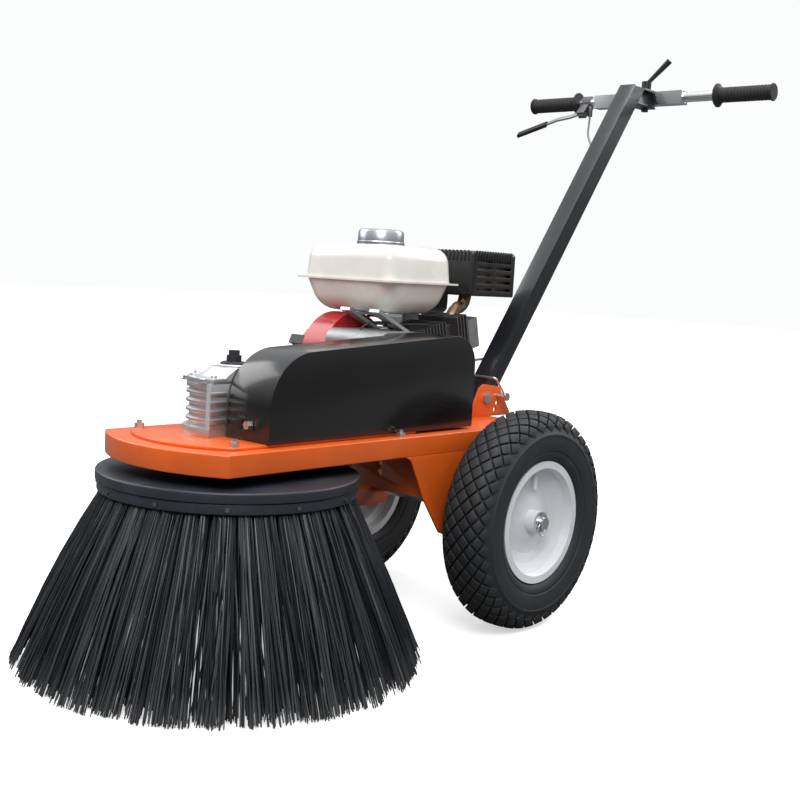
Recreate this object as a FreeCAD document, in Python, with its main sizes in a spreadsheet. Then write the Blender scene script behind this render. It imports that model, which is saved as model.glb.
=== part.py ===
import FreeCAD, Part
import math
import os
import re
import Sketcher
from FreeCAD import Placement, Rotation, Vector

# Walk behind sweeper, in millimetres. X runs to the operator's left, the brush faces -Y, Z is up.
# The origin is on the ground under the middle of the machine.

SIZES = {
    # ground line and main stations
    "axle_y": 68.0, "brush_y": -455.0, "deck_top": 359.0, "fit": 0.05, "gap": 0.5,
    # wheels
    "tyre_radius": 200.0, "axle_z": "=tyre_radius", "tyre_width": 100.0, "bead_radius": 102.0,
    "rim_radius": 112.0,
    "rim_half": 39.0, "hub_radius": 20.0, "hub_half": 35.0, "bush_radius": 14.0, "axle_radius": 10.0,
    "tyre_wall": 11.0, "rim_gauge": 3.0, "washer_gauge": 3.0, "axle_end": 13.0, "pin_radius": 2.0,
    # deck
    "deck_half": 153.0, "wheel_x": "=deck_half + 64", "deck_rear": 137.0, "deck_drop": 34.0,
    "deck_gauge": 4.0, "nose_reach": 638.0,
    "plate_half": 125.0, "plate_gauge": 5.0, "plate_rear": 312.0, "plate_reach": 31.0, "spigot_radius": 34.0,
    "leg_front": 266.0, "leg_toe": 150.0, "leg_heel": 40.0, "leg_low": 35.0, "leg_rear": 100.0,
    "cross_y": 200.0, "cross_low": "=deck_top - 112", "cross_hole": 6.0, "cross_hole_x": 35.0,
    "cross_hole_z": "=deck_top - 74",
    # brush
    "brush_radius": 210.0, "brush_low": "=deck_top - 86", "brush_gauge": 16.0, "bristle_top": 200.0,
    "bristle_tip": 330.0,
    "bristle_wall": 62.0, "flange_radius": 62.0, "flange_gauge": 9.0, "hub_drive": 30.0, "shaft_radius": 14.0,
    # gearbox
    "box_radius": 73.0, "box_height": 83.0, "box_wall": 7.0, "foot_radius": 78.0, "foot_gauge": 14.0,
    "worm_height": 56.0, "worm_offset": 40.0, "worm_radius": 13.0, "wheel_radius": 26.5, "wheel_gauge": 22.0,
    "worm_shaft": 10.0, "flat_x": 31.0, "boss_radius": 24.0, "boss_reach": 82.0, "dome_radius": 36.0,
    "dome_height": 24.0,
    "seal_radius": 21.5, "seal_height": 6.0, "cap_radius": 12.0, "cap_height": 18.0,
    # belt drive
    "belt_x": 82.0, "belt_width": 13.0, "belt_gauge": 8.0, "big_pulley": 50.0, "small_pulley": 27.0,
    "pulley_width": 22.0, "idler_radius": 21.0, "idler_width": 20.0, "idler_arm": 62.0, "idler_y": -170.0,
    "idler_pivot": 29.0,
    # belt cover
    "cover_x": 34.0, "cover_width": 96.0, "cover_front": -492.0, "cover_rear": 6.0, "cover_gauge": 2.5,
    "cover_nose": 140.0, "cover_tail": 173.0, "nose_radius": 90.0, "tail_radius": 55.0,
    # engine
    "crank_y": -49.0, "crank_height": 107.0, "crank_radius": 12.5, "case_left": 18.0, "case_width": 138.0,
    "case_front": 82.0, "case_rear": 62.0, "case_top": 60.0, "case_foot": 12.0, "case_wall": 9.0,
    "web_radius": 42.0, "barrel_lean": 14.0, "barrel_start": 63.0, "barrel_end": 168.0, "barrel_half": 46.0,
    "fin_gauge": 3.0, "fin_pitch": 9.0, "fin_reach": 12.0, "head_length": 48.0, "valve_length": 34.0,
    "barrel_x": -48.0, "fan_radius": 88.0, "fan_depth": 72.0, "fan_x": -121.0, "flywheel_radius": 76.0,
    "flywheel_gauge": 40.0, "recoil_radius": 62.0, "recoil_depth": 34.0,
    "starter_lean": 25.0, "starter_deep": 13.0, "starter_tall": 18.0, "starter_wide": 36.0,
    "tank_left": -2.0, "tank_width": 232.0, "tank_front": -92.0, "tank_depth": 190.0,
    "tank_low": "=deck_top + 198",
    "tank_height": 128.0, "tank_round": 34.0, "tank_arm_dip": 24.0, "seam_height": 60.0, "seam_gauge": 4.0, "seam_reach": 5.0,
    "cap_wide": 46.0, "cap_tall": 31.0, "filler_x": -120.0, "filler_y": 8.0, "filler_radius": 28.0,
    "guard_left": 0.0, "guard_width": 118.0, "guard_front": 148.0, "guard_depth": 145.0,
    "guard_low": "=deck_top + 235",
    "guard_height": 92.0, "guard_round": 8.0, "guard_gauge": 2.0, "muffler_inset": 9.0, "pipe_radius": 13.0,
    "cleaner_x": -232.0, "cleaner_width": 104.0, "cleaner_y": 118.0, "cleaner_depth": 125.0,
    "cleaner_low": "=deck_top + 197", "cleaner_height": 100.0, "carb_width": 46.0,
    "carb_low": "=deck_top + 141",
    # handle
    "pivot_y": 183.0, "pivot_z": "=deck_top + 37", "lean": 36.2, "column_size": 38.0, "column_wall": 2.5,
    "column_offset": 7.5, "column_foot": 18.0, "cheek_inner": 20.0, "cheek_gauge": 5.0,
    "pivot_radius": 6.0, "lock_radius": 5.0, "lock_up": 27.0, "lower_turn": 20.0, "bail_radius": 2.0,
    "bail_y": "=pivot_y + 5", "bail_z": "=pivot_z + 42",
    "bar_reach": 879.45, "bar_back": 68.89,
    "bar_y": "=pivot_y + bar_back * cos(lean) + bar_reach * sin(lean)",
    "bar_z": "=pivot_z - bar_back * sin(lean) + bar_reach * cos(lean)", "column_cut": "=bar_z + 19",
    "bar_half": 308.0, "bar_radius": 11.0, "grip_radius": 17.0,
    "grip_flange": 26.0, "grip_length": 133.0, "grip_cap": 4.0, "sleeve_left": 100.0, "sleeve_right": 130.0,
    "sleeve_tall": 30.0, "sleeve_deep": 28.0, "jaw_gauge": 5.0, "jaw_half": 18.0, "jaw_reach": 17.0,
    "bolt_radius": 4.0,
    "clamp_x": -165.0, "clamp_width": 20.0, "clamp_radius": 16.0, "lever_drop": 34.0, "lever_dip": 49.8,
    "lever_gauge": 5.0,
    "cable_radius": 2.5, "cable_bend": 45.0,
}

doc = FreeCAD.newDocument("sweeper")
sheet = doc.addObject("Spreadsheet::Sheet", "sizes")
for row, (alias, size) in enumerate(SIZES.items(), 1):
    sheet.set(f"A{row}", alias)
    sheet.set(f"B{row}", str(size))
    sheet.setAlias(f"B{row}", alias)
doc.recompute()

NODES = []


def link(text):
    """The expression with the sheet's name put before each of its sizes."""
    return re.sub(r"[A-Za-z_]\w*", lambda word: "sizes." + word[0] if word[0] in SIZES else word[0], str(text))


def value(text):
    return float(sheet.evalExpression(link(text)))


def bind(thing, **sizes):
    for prop, text in sizes.items():
        thing.setExpression(prop, link(text))


def place(thing, at=(0, 0, 0), axis=(0, 0, 1), turn=0):
    """Puts a thing at a point, turned about an axis by an angle; all of it follows the sheet."""
    thing.Placement = Placement(Vector(), Rotation(Vector(*axis), 1))
    for letter, text in zip("xyz", at):
        thing.setExpression(f"Placement.Base.{letter}", link(text))
    thing.setExpression("Placement.Rotation.Angle", link(turn))
    return thing


def on_column(along_y, along_z, across=0):
    """A point given along the handle column's own axes, from its pivot."""
    return (across, f"pivot_y + ({along_y}) * cos(lean) + ({along_z}) * sin(lean)",
            f"pivot_z - ({along_y}) * sin(lean) + ({along_z}) * cos(lean)")


def sketch(body, plane, corners):
    """A closed outline whose every corner is held by two sizes from the origin."""
    drawing = body.newObject("Sketcher::SketchObject", body.Name + "_outline")
    support = [item for item in body.Origin.OriginFeatures if item.Role == plane + "_Plane"]
    drawing.AttachmentSupport = [(support[0], "")]
    drawing.MapMode = "FlatFace"
    points = [Vector(value(u), value(v), 0) for u, v in corners]
    count = len(points)
    drawing.addGeometry([Part.LineSegment(points[i], points[(i + 1) % count]) for i in range(count)])
    held = [Sketcher.Constraint("Coincident", i, 2, (i + 1) % count, 1) for i in range(count)]
    bound = []
    for i, corner in enumerate(corners):
        for kind, text, line in (("DistanceX", corner[0], -2), ("DistanceY", corner[1], -1)):
            if abs(value(text)) < 1e-9:
                held.append(Sketcher.Constraint("PointOnObject", i, 1, line))
            else:
                bound.append((len(held), text))
                held.append(Sketcher.Constraint(kind, -1, 1, i, 1, value(text)))
    drawing.addConstraint(held)
    for index, text in bound:
        drawing.setExpression(f"Constraints[{index}]", link(text))
    return drawing


def lathe(name, profile, at=(0, 0, 0), axis=(0, 0, 1), turn=0):
    """A body turned about its own Z axis from a profile of radius and height."""
    body = doc.addObject("PartDesign::Body", name)
    drawing = sketch(body, "XZ", profile)
    turned = body.newObject("PartDesign::Revolution", name + "_turned")
    turned.Profile = drawing
    turned.ReferenceAxis = (drawing, ["V_Axis"])
    turned.Angle = 360
    return place(body, at, axis, turn)


def across(name, profile, x, y, z, side=1):
    """A turned body whose axis lies along X, facing +X or -X."""
    return lathe(name, profile, (x, y, z), (0, 1, 0), 90 * side)


def pad(name, plane, corners, depth, at=(0, 0, 0), axis=(0, 0, 1), turn=0, rounds=None, radius=None):
    """An outline raised to a depth, with the edges that rounds picks rolled to a radius."""
    body = doc.addObject("PartDesign::Body", name)
    raised = body.newObject("PartDesign::Pad", name + "_raised")
    raised.Profile = sketch(body, plane, corners)
    bind(raised, Length=depth)
    if rounds:
        doc.recompute()
        edges = [f"Edge{i}" for i, edge in enumerate(raised.Shape.Edges, 1) if rounds(edge)]
        rolled = body.newObject("PartDesign::Fillet", name + "_rolled")
        rolled.Base = (raised, edges)
        bind(rolled, Radius=radius)
    return place(body, at, axis, turn)


def along(letter):
    """Picks the edges that run along one axis."""
    def picks(edge):
        run = edge.Vertexes[-1].Point - edge.Vertexes[0].Point
        return abs(abs(getattr(run, letter)) - run.Length) < 1e-6
    return picks


def every(edge):
    return True


def block(name, x, y, z, rounds=None, radius=None):
    """A block between low and high limits on each axis."""
    corners = [(x[0], y[0]), (x[1], y[0]), (x[1], y[1]), (x[0], y[1])]
    return pad(name, "XY", corners, f"({z[1]}) - ({z[0]})", (0, 0, z[0]), rounds=rounds, radius=radius)


def box(name, size, at=(0, 0, 0), axis=(0, 0, 1), turn=0):
    thing = doc.addObject("Part::Box", name)
    bind(thing, Length=size[0], Width=size[1], Height=size[2])
    return place(thing, at, axis, turn)


def rod(name, radius, length, at, axis=(0, 0, 1), turn=0):
    thing = doc.addObject("Part::Cylinder", name)
    bind(thing, Radius=radius, Height=length)
    return place(thing, at, axis, turn)


def rod_x(name, radius, x, y, z, length):
    return rod(name, radius, length, (x, y, z), (0, 1, 0), 90)


def hexagon(name, reach, height, at, axis=(0, 0, 1), turn=0):
    thing = doc.addObject("Part::Prism", name)
    thing.Polygon = 6
    bind(thing, Circumradius=reach, Height=height)
    return place(thing, at, axis, turn)


def fuse(name, things):
    whole = doc.addObject("Part::MultiFuse", name)
    whole.Shapes = things
    return whole


def cut(name, base, tools):
    result = doc.addObject("Part::Cut", name)
    result.Base = base
    result.Tool = tools[0] if len(tools) == 1 else fuse(name + "_tools", tools)
    return result


def cable(name, points, radius, bend):
    """A round cord along straight runs joined by tangent bends."""
    spots = [Vector(*(value(text) for text in point)) for point in points]
    pieces, start = [], spots[0]
    for before, corner, after in zip(spots, spots[1:], spots[2:]):
        back, ahead = (before - corner).normalize(), (after - corner).normalize()
        half = back.getAngle(ahead) / 2
        reach = value(bend) / math.tan(half)
        reach = min(reach, (before - corner).Length * 0.48, (after - corner).Length * 0.48)
        first, last = corner + back * reach, corner + ahead * reach
        middle = (back + ahead).normalize()
        round_size = reach * math.tan(half)
        centre = corner + middle * (round_size / math.sin(half))
        top = centre - middle * round_size
        pieces += [Part.LineSegment(start, first).toShape(), Part.Arc(first, top, last).toShape()]
        start = last
    pieces.append(Part.LineSegment(start, spots[-1]).toShape())
    path = Part.Wire(pieces)
    ring = Part.Wire(Part.makeCircle(value(radius), spots[0], spots[1] - spots[0]))
    thing = doc.addObject("Part::Feature", name)
    thing.Shape = path.makePipeShell([ring], True, False)
    return thing


def node(thing, label=None):
    thing.Label = label or thing.Name
    NODES.append(thing)
    return thing


# ---------------------------------------------------------------- wheels and axle
def wheel(name, side):
    x = f"{side} * wheel_x"
    half = "tyre_width / 2"
    outer = [("bead_radius", f"-{half} + 15"), ("rim_radius + 1.5", f"-{half} + 15"),
             ("rim_radius + 9", f"-{half} + 6"),
             ("bead_radius + 46", f"-{half}"), ("tyre_radius - 22", f"-{half} + 4"),
             ("tyre_radius - 5", f"-{half} + 14"), ("tyre_radius", f"-{half} + 28"),
             ("tyre_radius", f"{half} - 28"), ("tyre_radius - 5", f"{half} - 14"),
             ("tyre_radius - 22", f"{half} - 4"), ("bead_radius + 46", half),
             ("rim_radius + 9", f"{half} - 6"), ("rim_radius + 1.5", f"{half} - 15"),
             ("bead_radius", f"{half} - 15")]
    inner = [("bead_radius", f"{half} - 26"), ("bead_radius + 18", f"{half} - 17"),
             ("bead_radius + 46", f"{half} - tyre_wall"), ("tyre_radius - 24", f"{half} - 18"),
             ("tyre_radius - 14", f"{half} - 30"), ("tyre_radius - 14", f"-{half} + 30"),
             ("tyre_radius - 24", f"-{half} + 18"), ("bead_radius + 46", f"-{half} + tyre_wall"),
             ("bead_radius + 18", f"-{half} + 17"), ("bead_radius", f"-{half} + 26")]
    node(across(name + "_tyre", outer + inner, x, "axle_y", "axle_z", side))
    barrel = [("rim_radius", "-rim_half"), ("rim_radius", "-rim_half + rim_gauge"),
              ("bead_radius", "-rim_half + rim_gauge"), ("bead_radius - 1", "-18"), ("bead_radius - 14", "-13"),
              ("bead_radius - 14", "13"), ("bead_radius - 1", "18"), ("bead_radius", "rim_half - rim_gauge"),
              ("rim_radius", "rim_half - rim_gauge"), ("rim_radius", "rim_half"),
              ("bead_radius - rim_gauge", "rim_half"), ("bead_radius - rim_gauge - 1", "21"),
              ("bead_radius - rim_gauge - 14", "15"), ("bead_radius - 22", "13"), ("62", "9"), ("34", "15"),
              ("hub_radius", "15"), ("hub_radius", "hub_half"), ("bush_radius", "hub_half"),
              ("bush_radius", "-hub_half"), ("hub_radius", "-hub_half"), ("hub_radius", "15 - rim_gauge"),
              ("34", "15 - rim_gauge"), ("62", "9 - rim_gauge"), ("bead_radius - 22", "13 - rim_gauge"),
              ("bead_radius - rim_gauge - 14", "10 - rim_gauge"), ("bead_radius - rim_gauge - 14", "-15"),
              ("bead_radius - rim_gauge - 1", "-21"), ("bead_radius - rim_gauge", "-rim_half")]
    well = across(name + "_well", barrel, x, "axle_y", "axle_z", side)
    valve = rod(name + "_valve", "4", "26", (f"{side} * (wheel_x + 19)", "axle_y", "axle_z + 58"))
    node(fuse(name + "_rim", [well, valve]))
    bush = [("axle_radius + fit", "-hub_half"), ("bush_radius", "-hub_half"), ("bush_radius", "hub_half"),
            ("axle_radius + fit", "hub_half")]
    node(across(name + "_bush", bush, x, "axle_y", "axle_z", side))
    washer = [("axle_radius + fit", "0"), ("19", "0"), ("19", "washer_gauge"), ("axle_radius + fit", "washer_gauge")]
    rings = [across(name + "_washer", washer, f"{side} * (wheel_x + hub_half + gap)", "axle_y", "axle_z", side)]
    spacer = [("axle_radius + fit", "0"), ("17", "0"), ("17", "wheel_x - hub_half - gap * 2 - deck_half"),
              ("axle_radius + fit", "wheel_x - hub_half - gap * 2 - deck_half")]
    rings.append(across(name + "_spacer", spacer, f"{side} * (deck_half + gap)", "axle_y", "axle_z", side))
    pin_x = f"{side} * (wheel_x + hub_half + gap + washer_gauge + 3)"
    rings.append(rod(name + "_split_pin", "pin_radius", "36", (pin_x, "axle_y", "axle_z - 18")))
    return pin_x, rings


(left_pin, left_rings), (right_pin, right_rings) = wheel("left", 1), wheel("right", -1)
node(fuse("axle_fittings", left_rings + right_rings))
pins = [left_pin, right_pin]
axle_length = "2 * (wheel_x + hub_half + axle_end)"
axle_rod = rod_x("axle_rod", "axle_radius", f"-({axle_length}) / 2", "axle_y", "axle_z", axle_length)
drilled = [rod(f"axle_hole_{i}", "pin_radius", "36", (x, "axle_y", "axle_z - 18")) for i, x in enumerate(pins)]
node(cut("axle", axle_rod, drilled))


# ---------------------------------------------------------------- deck, plate, legs
def tongue(name, half, rear, front, low, height):
    """A straight-sided plate whose front edge is one arc across its corners."""
    bow = f"(({half}) * ({half}) + 51 * 51) / 102"
    flat = box(name + "_flat", (f"2 * ({half})", f"({rear}) + ({front})", height),
               (f"-({half})", f"-({front})", low))
    disc = rod(name + "_disc", bow, height, (0, f"-({front}) + {bow}", low))
    tail = box(name + "_tail", (f"2 * ({half})", f"({rear}) + ({front}) - ({bow})", height),
               (f"-({half})", f"-({front}) + {bow}", low))
    both = doc.addObject("Part::Common", name)
    both.Base = flat
    both.Tool = fuse(name + "_round", [disc, tail])
    return both


shell = tongue("deck_shell", "deck_half", "axle_y + deck_rear", "nose_reach", "deck_top - deck_drop", "deck_drop")
inside = tongue("deck_inside", "deck_half - deck_gauge", "axle_y + deck_rear - deck_gauge",
                "nose_reach - deck_gauge", "deck_top - deck_drop", "deck_drop - deck_gauge")
spigot = rod("deck_spigot", "spigot_radius", "deck_drop + 10", (0, "brush_y", "deck_top - deck_drop"))
node(cut("deck_tray", shell, [inside, spigot]))
plate = tongue("plate_blank", "plate_half", "plate_rear + brush_y", "nose_reach - plate_reach", "deck_top",
               "plate_gauge")
plate_hole = rod("plate_hole", "spigot_radius", "deck_drop", (0, "brush_y", "deck_top - 5"))
node(cut("gearbox_plate", plate, [plate_hole]))
leg = [("axle_y - leg_front", "deck_top - deck_drop"), ("axle_y - leg_front + 13", "deck_top - deck_drop - 6"),
       ("axle_y - leg_front + 51", "deck_top - 110"), ("axle_y - leg_toe - 16", "axle_z - 17"),
       ("axle_y - leg_toe + 30", "axle_z - leg_low"), ("axle_y + leg_heel - 15", "axle_z - leg_low"),
       ("axle_y + leg_heel", "axle_z - leg_low + 15"), ("axle_y + leg_rear", "deck_top - deck_drop")]
legs = []
for name, x in (("left_leg", "deck_half - deck_gauge"), ("right_leg", "-deck_half")):
    blank = pad(name + "_blank", "YZ", leg, "deck_gauge", (x, 0, 0))
    hole = rod_x(name + "_hole", "axle_radius", f"{x} - 5", "axle_y", "axle_z", "deck_gauge + 10")
    legs.append(cut(name, blank, [hole]))
cross = box("cross_blank", ("2 * (deck_half - deck_gauge)", "deck_gauge", "deck_top - deck_gauge - cross_low"),
            ("-(deck_half - deck_gauge)", "axle_y - cross_y", "cross_low"))
lip = box("cross_lip", ("2 * (deck_half - deck_gauge)", "24", "deck_gauge"),
          ("-(deck_half - deck_gauge)", "axle_y - cross_y", "cross_low"))
holes = [rod(f"cross_hole_{i}_{j}", "cross_hole", "deck_gauge + 20",
             (f"{i} * cross_hole_x", "axle_y - cross_y - 10", f"cross_hole_z + {j} * 9"), (1, 0, 0), -90)
         for i in (-1, 1) for j in (-1, 1)]
node(fuse("leg_frame", legs + [cut("cross_plate", fuse("cross_bent", [cross, lip]), holes)]))
screws = []
for i, (x, y, z) in enumerate((("plate_half - 9", "-548", "deck_top + plate_gauge"),
                               ("9 - plate_half", "-548", "deck_top + plate_gauge"),
                               ("plate_half + 14", "-200", "deck_top"), ("-plate_half - 14", "-200", "deck_top"))):
    screws.append(hexagon(f"deck_screw_{i}", "8", "7", (x, y, z)))
    screws.append(rod(f"deck_stud_{i}", "4", "12", (x, y, z)))

# ---------------------------------------------------------------- gearbox and brush
floor = "deck_top + plate_gauge"
worm_y, worm_z = "brush_y + worm_offset", f"{floor} + worm_height - 5"
rings = []
for i in range(4):
    low = f"foot_gauge + 7 + {i} * 14"
    rings += [("box_radius - 5", low), ("box_radius", f"{low} + 2"), ("box_radius", f"{low} + 6"),
              ("box_radius - 5", f"{low} + 8")]
hollow = "box_radius - box_wall - 6"
housing = [("shaft_radius + fit", "0"), ("foot_radius", "0"), ("foot_radius", "foot_gauge"),
           ("box_radius - 5", "foot_gauge"), *rings, ("box_radius - 5", "box_height - 8"),
           ("box_radius", "box_height - 8"), ("box_radius", "box_height"), (hollow, "box_height"),
           (hollow, "foot_gauge"), ("shaft_radius + fit", "foot_gauge")]
body = lathe("housing_body", housing, (0, "brush_y", floor))
boss = rod_x("housing_boss", "boss_radius", "-boss_reach", worm_y, worm_z, "boss_reach + flat_x")
wall = box("housing_wall", ("box_wall", "2 * boss_reach", "box_height"),
           ("flat_x - box_wall", "brush_y - boss_reach", floor))
disc = rod("housing_disc", "foot_radius - 1", "box_height", (0, "brush_y", floor))
flat_wall = doc.addObject("Part::Common", "housing_flat")
flat_wall.Base, flat_wall.Tool = wall, disc
past = box("housing_past", ("boss_reach", "3 * boss_reach", "3 * box_height"),
           ("flat_x", "brush_y - boss_reach * 1.5", "deck_top"))
room = rod("housing_room", hollow, "box_height - foot_gauge", (0, "brush_y", f"{floor} + foot_gauge"))
beyond = box("housing_beyond", ("boss_reach", "3 * boss_reach", "3 * box_height"),
             ("flat_x - box_wall / 2", "brush_y - boss_reach * 1.5", "deck_top"))
clear = cut("housing_clear", room, [beyond])
bore = rod_x("housing_bore", "worm_shaft + fit", "-boss_reach + 8", worm_y, worm_z, "boss_reach + 60")
spindle_hole = rod("housing_spindle_hole", "shaft_radius + fit", "60", (0, "brush_y", f"{floor} - 10"))
node(cut("gearbox_housing", fuse("housing_solid", [body, boss, flat_wall]), [clear, bore, past, spindle_hole]))
lid = [("0", "0"), ("box_radius", "0"), ("box_radius", "8"), ("dome_radius + 16", "9"), ("dome_radius", "dome_height"),
       ("seal_radius", "dome_height"), ("seal_radius", "dome_height - 6"), ("0", "dome_height - 6")]
cover_parts = [lathe("gearbox_lid", lid, (0, "brush_y", f"{floor} + box_height"))]
seal = [("0", "0"), ("seal_radius", "0"), ("seal_radius", "6 + seal_height"), ("seal_radius - 4", "8 + seal_height"),
        ("0", "8 + seal_height")]
node(lathe("gearbox_seal", seal, (0, "brush_y", f"{floor} + box_height + dome_height - 6")))
cap_low = f"{floor} + box_height + dome_height + seal_height + 2"
node(fuse("gearbox_breather", [rod("breather_body", "cap_radius", "cap_height - 8", (0, "brush_y", cap_low)),
                               hexagon("breather_hex", "9", "cap_height", (0, "brush_y", cap_low))]))
for i in range(8):
    x, y = f"(box_radius - 8) * cos({45 * i + 22})", f"brush_y + (box_radius - 8) * sin({45 * i + 22})"
    cover_parts.append(rod(f"lid_bolt_{i}", "5", "6", (x, y, f"{floor} + box_height + 7")))
cover_parts.append(across("gearbox_plug", [("0", "0"), ("14", "0"), ("14", "5"), ("0", "5")], "-boss_reach",
                          worm_y, worm_z, -1))
past = box("lid_past", ("boss_reach", "3 * boss_reach", "3 * box_height"),
           ("flat_x", "brush_y - boss_reach * 1.5", "deck_top"))
node(cut("gearbox_cover", fuse("lid_solid", cover_parts), [past]))

brush_top = "brush_low + 2 * brush_gauge + 1"
shaft = [("0", "0"), ("shaft_radius", "0"), ("shaft_radius", f"{floor} + foot_gauge + 58 - ({brush_top})"),
         ("0", f"{floor} + foot_gauge + 58 - ({brush_top})")]
spindle = lathe("output_rod", shaft, (0, "brush_y", brush_top))
worm_wheel = [("shaft_radius", "0"), ("wheel_radius", "0"), ("wheel_radius", "wheel_gauge"),
              ("shaft_radius", "wheel_gauge")]
gear = lathe("worm_wheel", worm_wheel, (0, "brush_y", f"{floor} + worm_height - 5 - wheel_gauge / 2"))
node(fuse("output_shaft", [spindle, gear]))
drive = [("shaft_radius", "0"), ("flange_radius", "0"), ("flange_radius", "flange_gauge"),
         ("hub_drive", "flange_gauge"), ("hub_drive", "40"), ("shaft_radius", "40")]
hub_parts = [lathe("drive_hub", drive, (0, "brush_y", brush_top))]
disc = [("0", "0"), ("brush_radius - 3", "0"), ("brush_radius - 3", "brush_gauge"), ("0", "brush_gauge")]
node(lathe("brush_ring", disc, (0, "brush_y", "brush_low")))
disc = [("0", "0"), ("brush_radius", "0"), ("brush_radius", "brush_gauge - 2"), ("brush_radius - 2", "brush_gauge"),
        ("0", "brush_gauge")]
node(lathe("brush_plate", disc, (0, "brush_y", "brush_low + brush_gauge + 1")))
skirt = [("bristle_top - bristle_wall", "brush_low"), ("bristle_top", "brush_low"), ("bristle_tip", "0"),
         ("bristle_tip - bristle_wall - 8", "0")]
node(lathe("bristles", skirt, (0, "brush_y", 0)))
for i in range(6):
    x, y = f"(flange_radius - 13) * cos({60 * i})", f"brush_y + (flange_radius - 13) * sin({60 * i})"
    hub_parts.append(hexagon(f"brush_bolt_{i}", "8", "6", (x, y, f"{brush_top} + flange_gauge")))
node(fuse("drive_flange", hub_parts))

# ---------------------------------------------------------------- belt drive
crank_z = "deck_top + crank_height"
thread = [("0", "0"), ("worm_shaft", "0"), ("worm_shaft", "43"), ("worm_radius", "44"), ("worm_radius", "92"),
          ("worm_shaft", "93"), ("worm_shaft", "belt_x + 85"), ("0", "belt_x + 85")]
node(across("worm_shaft_rod", thread, "-70", worm_y, worm_z), "worm_shaft")


def pulley(name, reach, bore_size, y, z, width="pulley_width"):
    groove = f"{reach} - 11"
    profile = [(bore_size, f"-({width}) / 2"), (reach, f"-({width}) / 2"), (reach, "-8"), (groove, "-4"),
               (groove, "4"), (reach, "8"), (reach, f"({width}) / 2"), (bore_size, f"({width}) / 2")]
    return across(name, profile, "belt_x", y, z)


node(pulley("gearbox_pulley", "big_pulley", "worm_shaft", worm_y, worm_z))
node(pulley("engine_pulley", "small_pulley", "crank_radius - 3", "crank_y", crank_z))


def belt_loop(name, grow, width):
    """The outline wrapped round both pulleys, grown outward by an amount."""
    reach_big, reach_small = f"(big_pulley - 9 + {grow})", f"(small_pulley - 9 + {grow})"
    run_y, run_z = f"(crank_y - ({worm_y}))", f"({crank_z} - ({worm_z}))"
    span = f"sqrt({run_y} * {run_y} + {run_z} * {run_z})"
    rise = f"atan({run_z} / {run_y}) / 1 deg"
    close = f"asin(({reach_big} - {reach_small}) / {span}) / 1 deg"
    ends = []
    for mark, y, z, reach in (("big", worm_y, worm_z, reach_big), ("small", "crank_y", crank_z, reach_small)):
        ends.append(rod_x(f"{name}_{mark}", reach, f"belt_x - ({width}) / 2", y, z, width))
    upper, lower = f"90 + {rise} - {close}", f"270 + {rise} + {close}"
    corners = [(f"{y} + {reach} * cos({angle})", f"{z} + {reach} * sin({angle})")
               for angle, order in ((upper, 1), (lower, -1))
               for y, z, reach in ((worm_y, worm_z, reach_big), ("crank_y", crank_z, reach_small))[::order]]
    middle = pad(name + "_middle", "YZ", corners, width, (f"belt_x - ({width}) / 2", 0, 0))
    return fuse(name, ends + [middle])


outer = belt_loop("belt_outer", "belt_gauge", "belt_width - 5.5")
inner = belt_loop("belt_inner", "gap", "belt_width + 5")
node(cut("drive_belt", outer, [inner]))

# idler arm stands on a pivot stud and presses up on the belt's lower run
idler_z = "deck_top + idler_pivot"
stud = rod_x("idler_stud", "6", "cover_x + 6", "idler_y + idler_arm", idler_z, "belt_x - cover_x - 17")
foot = box("idler_foot", ("6", "30", "idler_pivot + 14"), ("cover_x + 6", "idler_y + idler_arm - 15", "deck_top"))
node(fuse("idler_bracket", [stud, foot]))
arm = box("idler_arm_bar", ("6", "idler_arm + 20", "16"), ("belt_x - idler_width / 2 - 8", "idler_y - 10",
                                                          f"{idler_z} - 8"))
arm_hole = rod_x("idler_arm_hole", "6 + fit", "cover_x", "idler_y + idler_arm", idler_z, "60")
arm_pin = rod_x("idler_pin", "5", "belt_x - idler_width / 2 - 8", "idler_y", idler_z, "idler_width + 11")
node(cut("idler_lever", fuse("idler_solid", [arm, arm_pin]), [arm_hole]), "idler_arm")
wheel_profile = [("5 + fit", "-idler_width / 2"), ("idler_radius - 2", "-idler_width / 2"),
                 ("idler_radius - 2", "idler_width / 2"), ("5 + fit", "idler_width / 2")]
node(across("idler_pulley", wheel_profile, "belt_x", "idler_y", idler_z))


def cover_solid(name, inset, x, width, low):
    front, rear = f"cover_front + {inset}", f"cover_rear - {inset}"
    corners = [(front, low), (rear, low), (rear, f"deck_top + cover_tail - {inset}"),
               (front, f"deck_top + cover_nose - {inset}")]
    body = pad(name + "_sharp", "YZ", corners, width, (x, 0, 0))
    doc.recompute()
    for mark, y, size in (("nose", value(front), f"nose_radius - {inset}"),
                          ("tail", value(rear), f"tail_radius - {inset}")):
        def corner(edge):
            ends = [vertex.Point for vertex in edge.Vertexes]
            return (len(ends) == 2 and all(abs(p.y - y) < 1e-3 and p.z > value("deck_top") + 20 for p in ends)
                    and along("x")(edge))
        sharp = body.Tip
        edges = [f"Edge{i}" for i, edge in enumerate(sharp.Shape.Edges, 1) if corner(edge)]
        rolled = body.newObject("PartDesign::Fillet", f"{name}_{mark}")
        rolled.Base = (sharp, edges)
        bind(rolled, Radius=size)
        doc.recompute()
    return body


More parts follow.
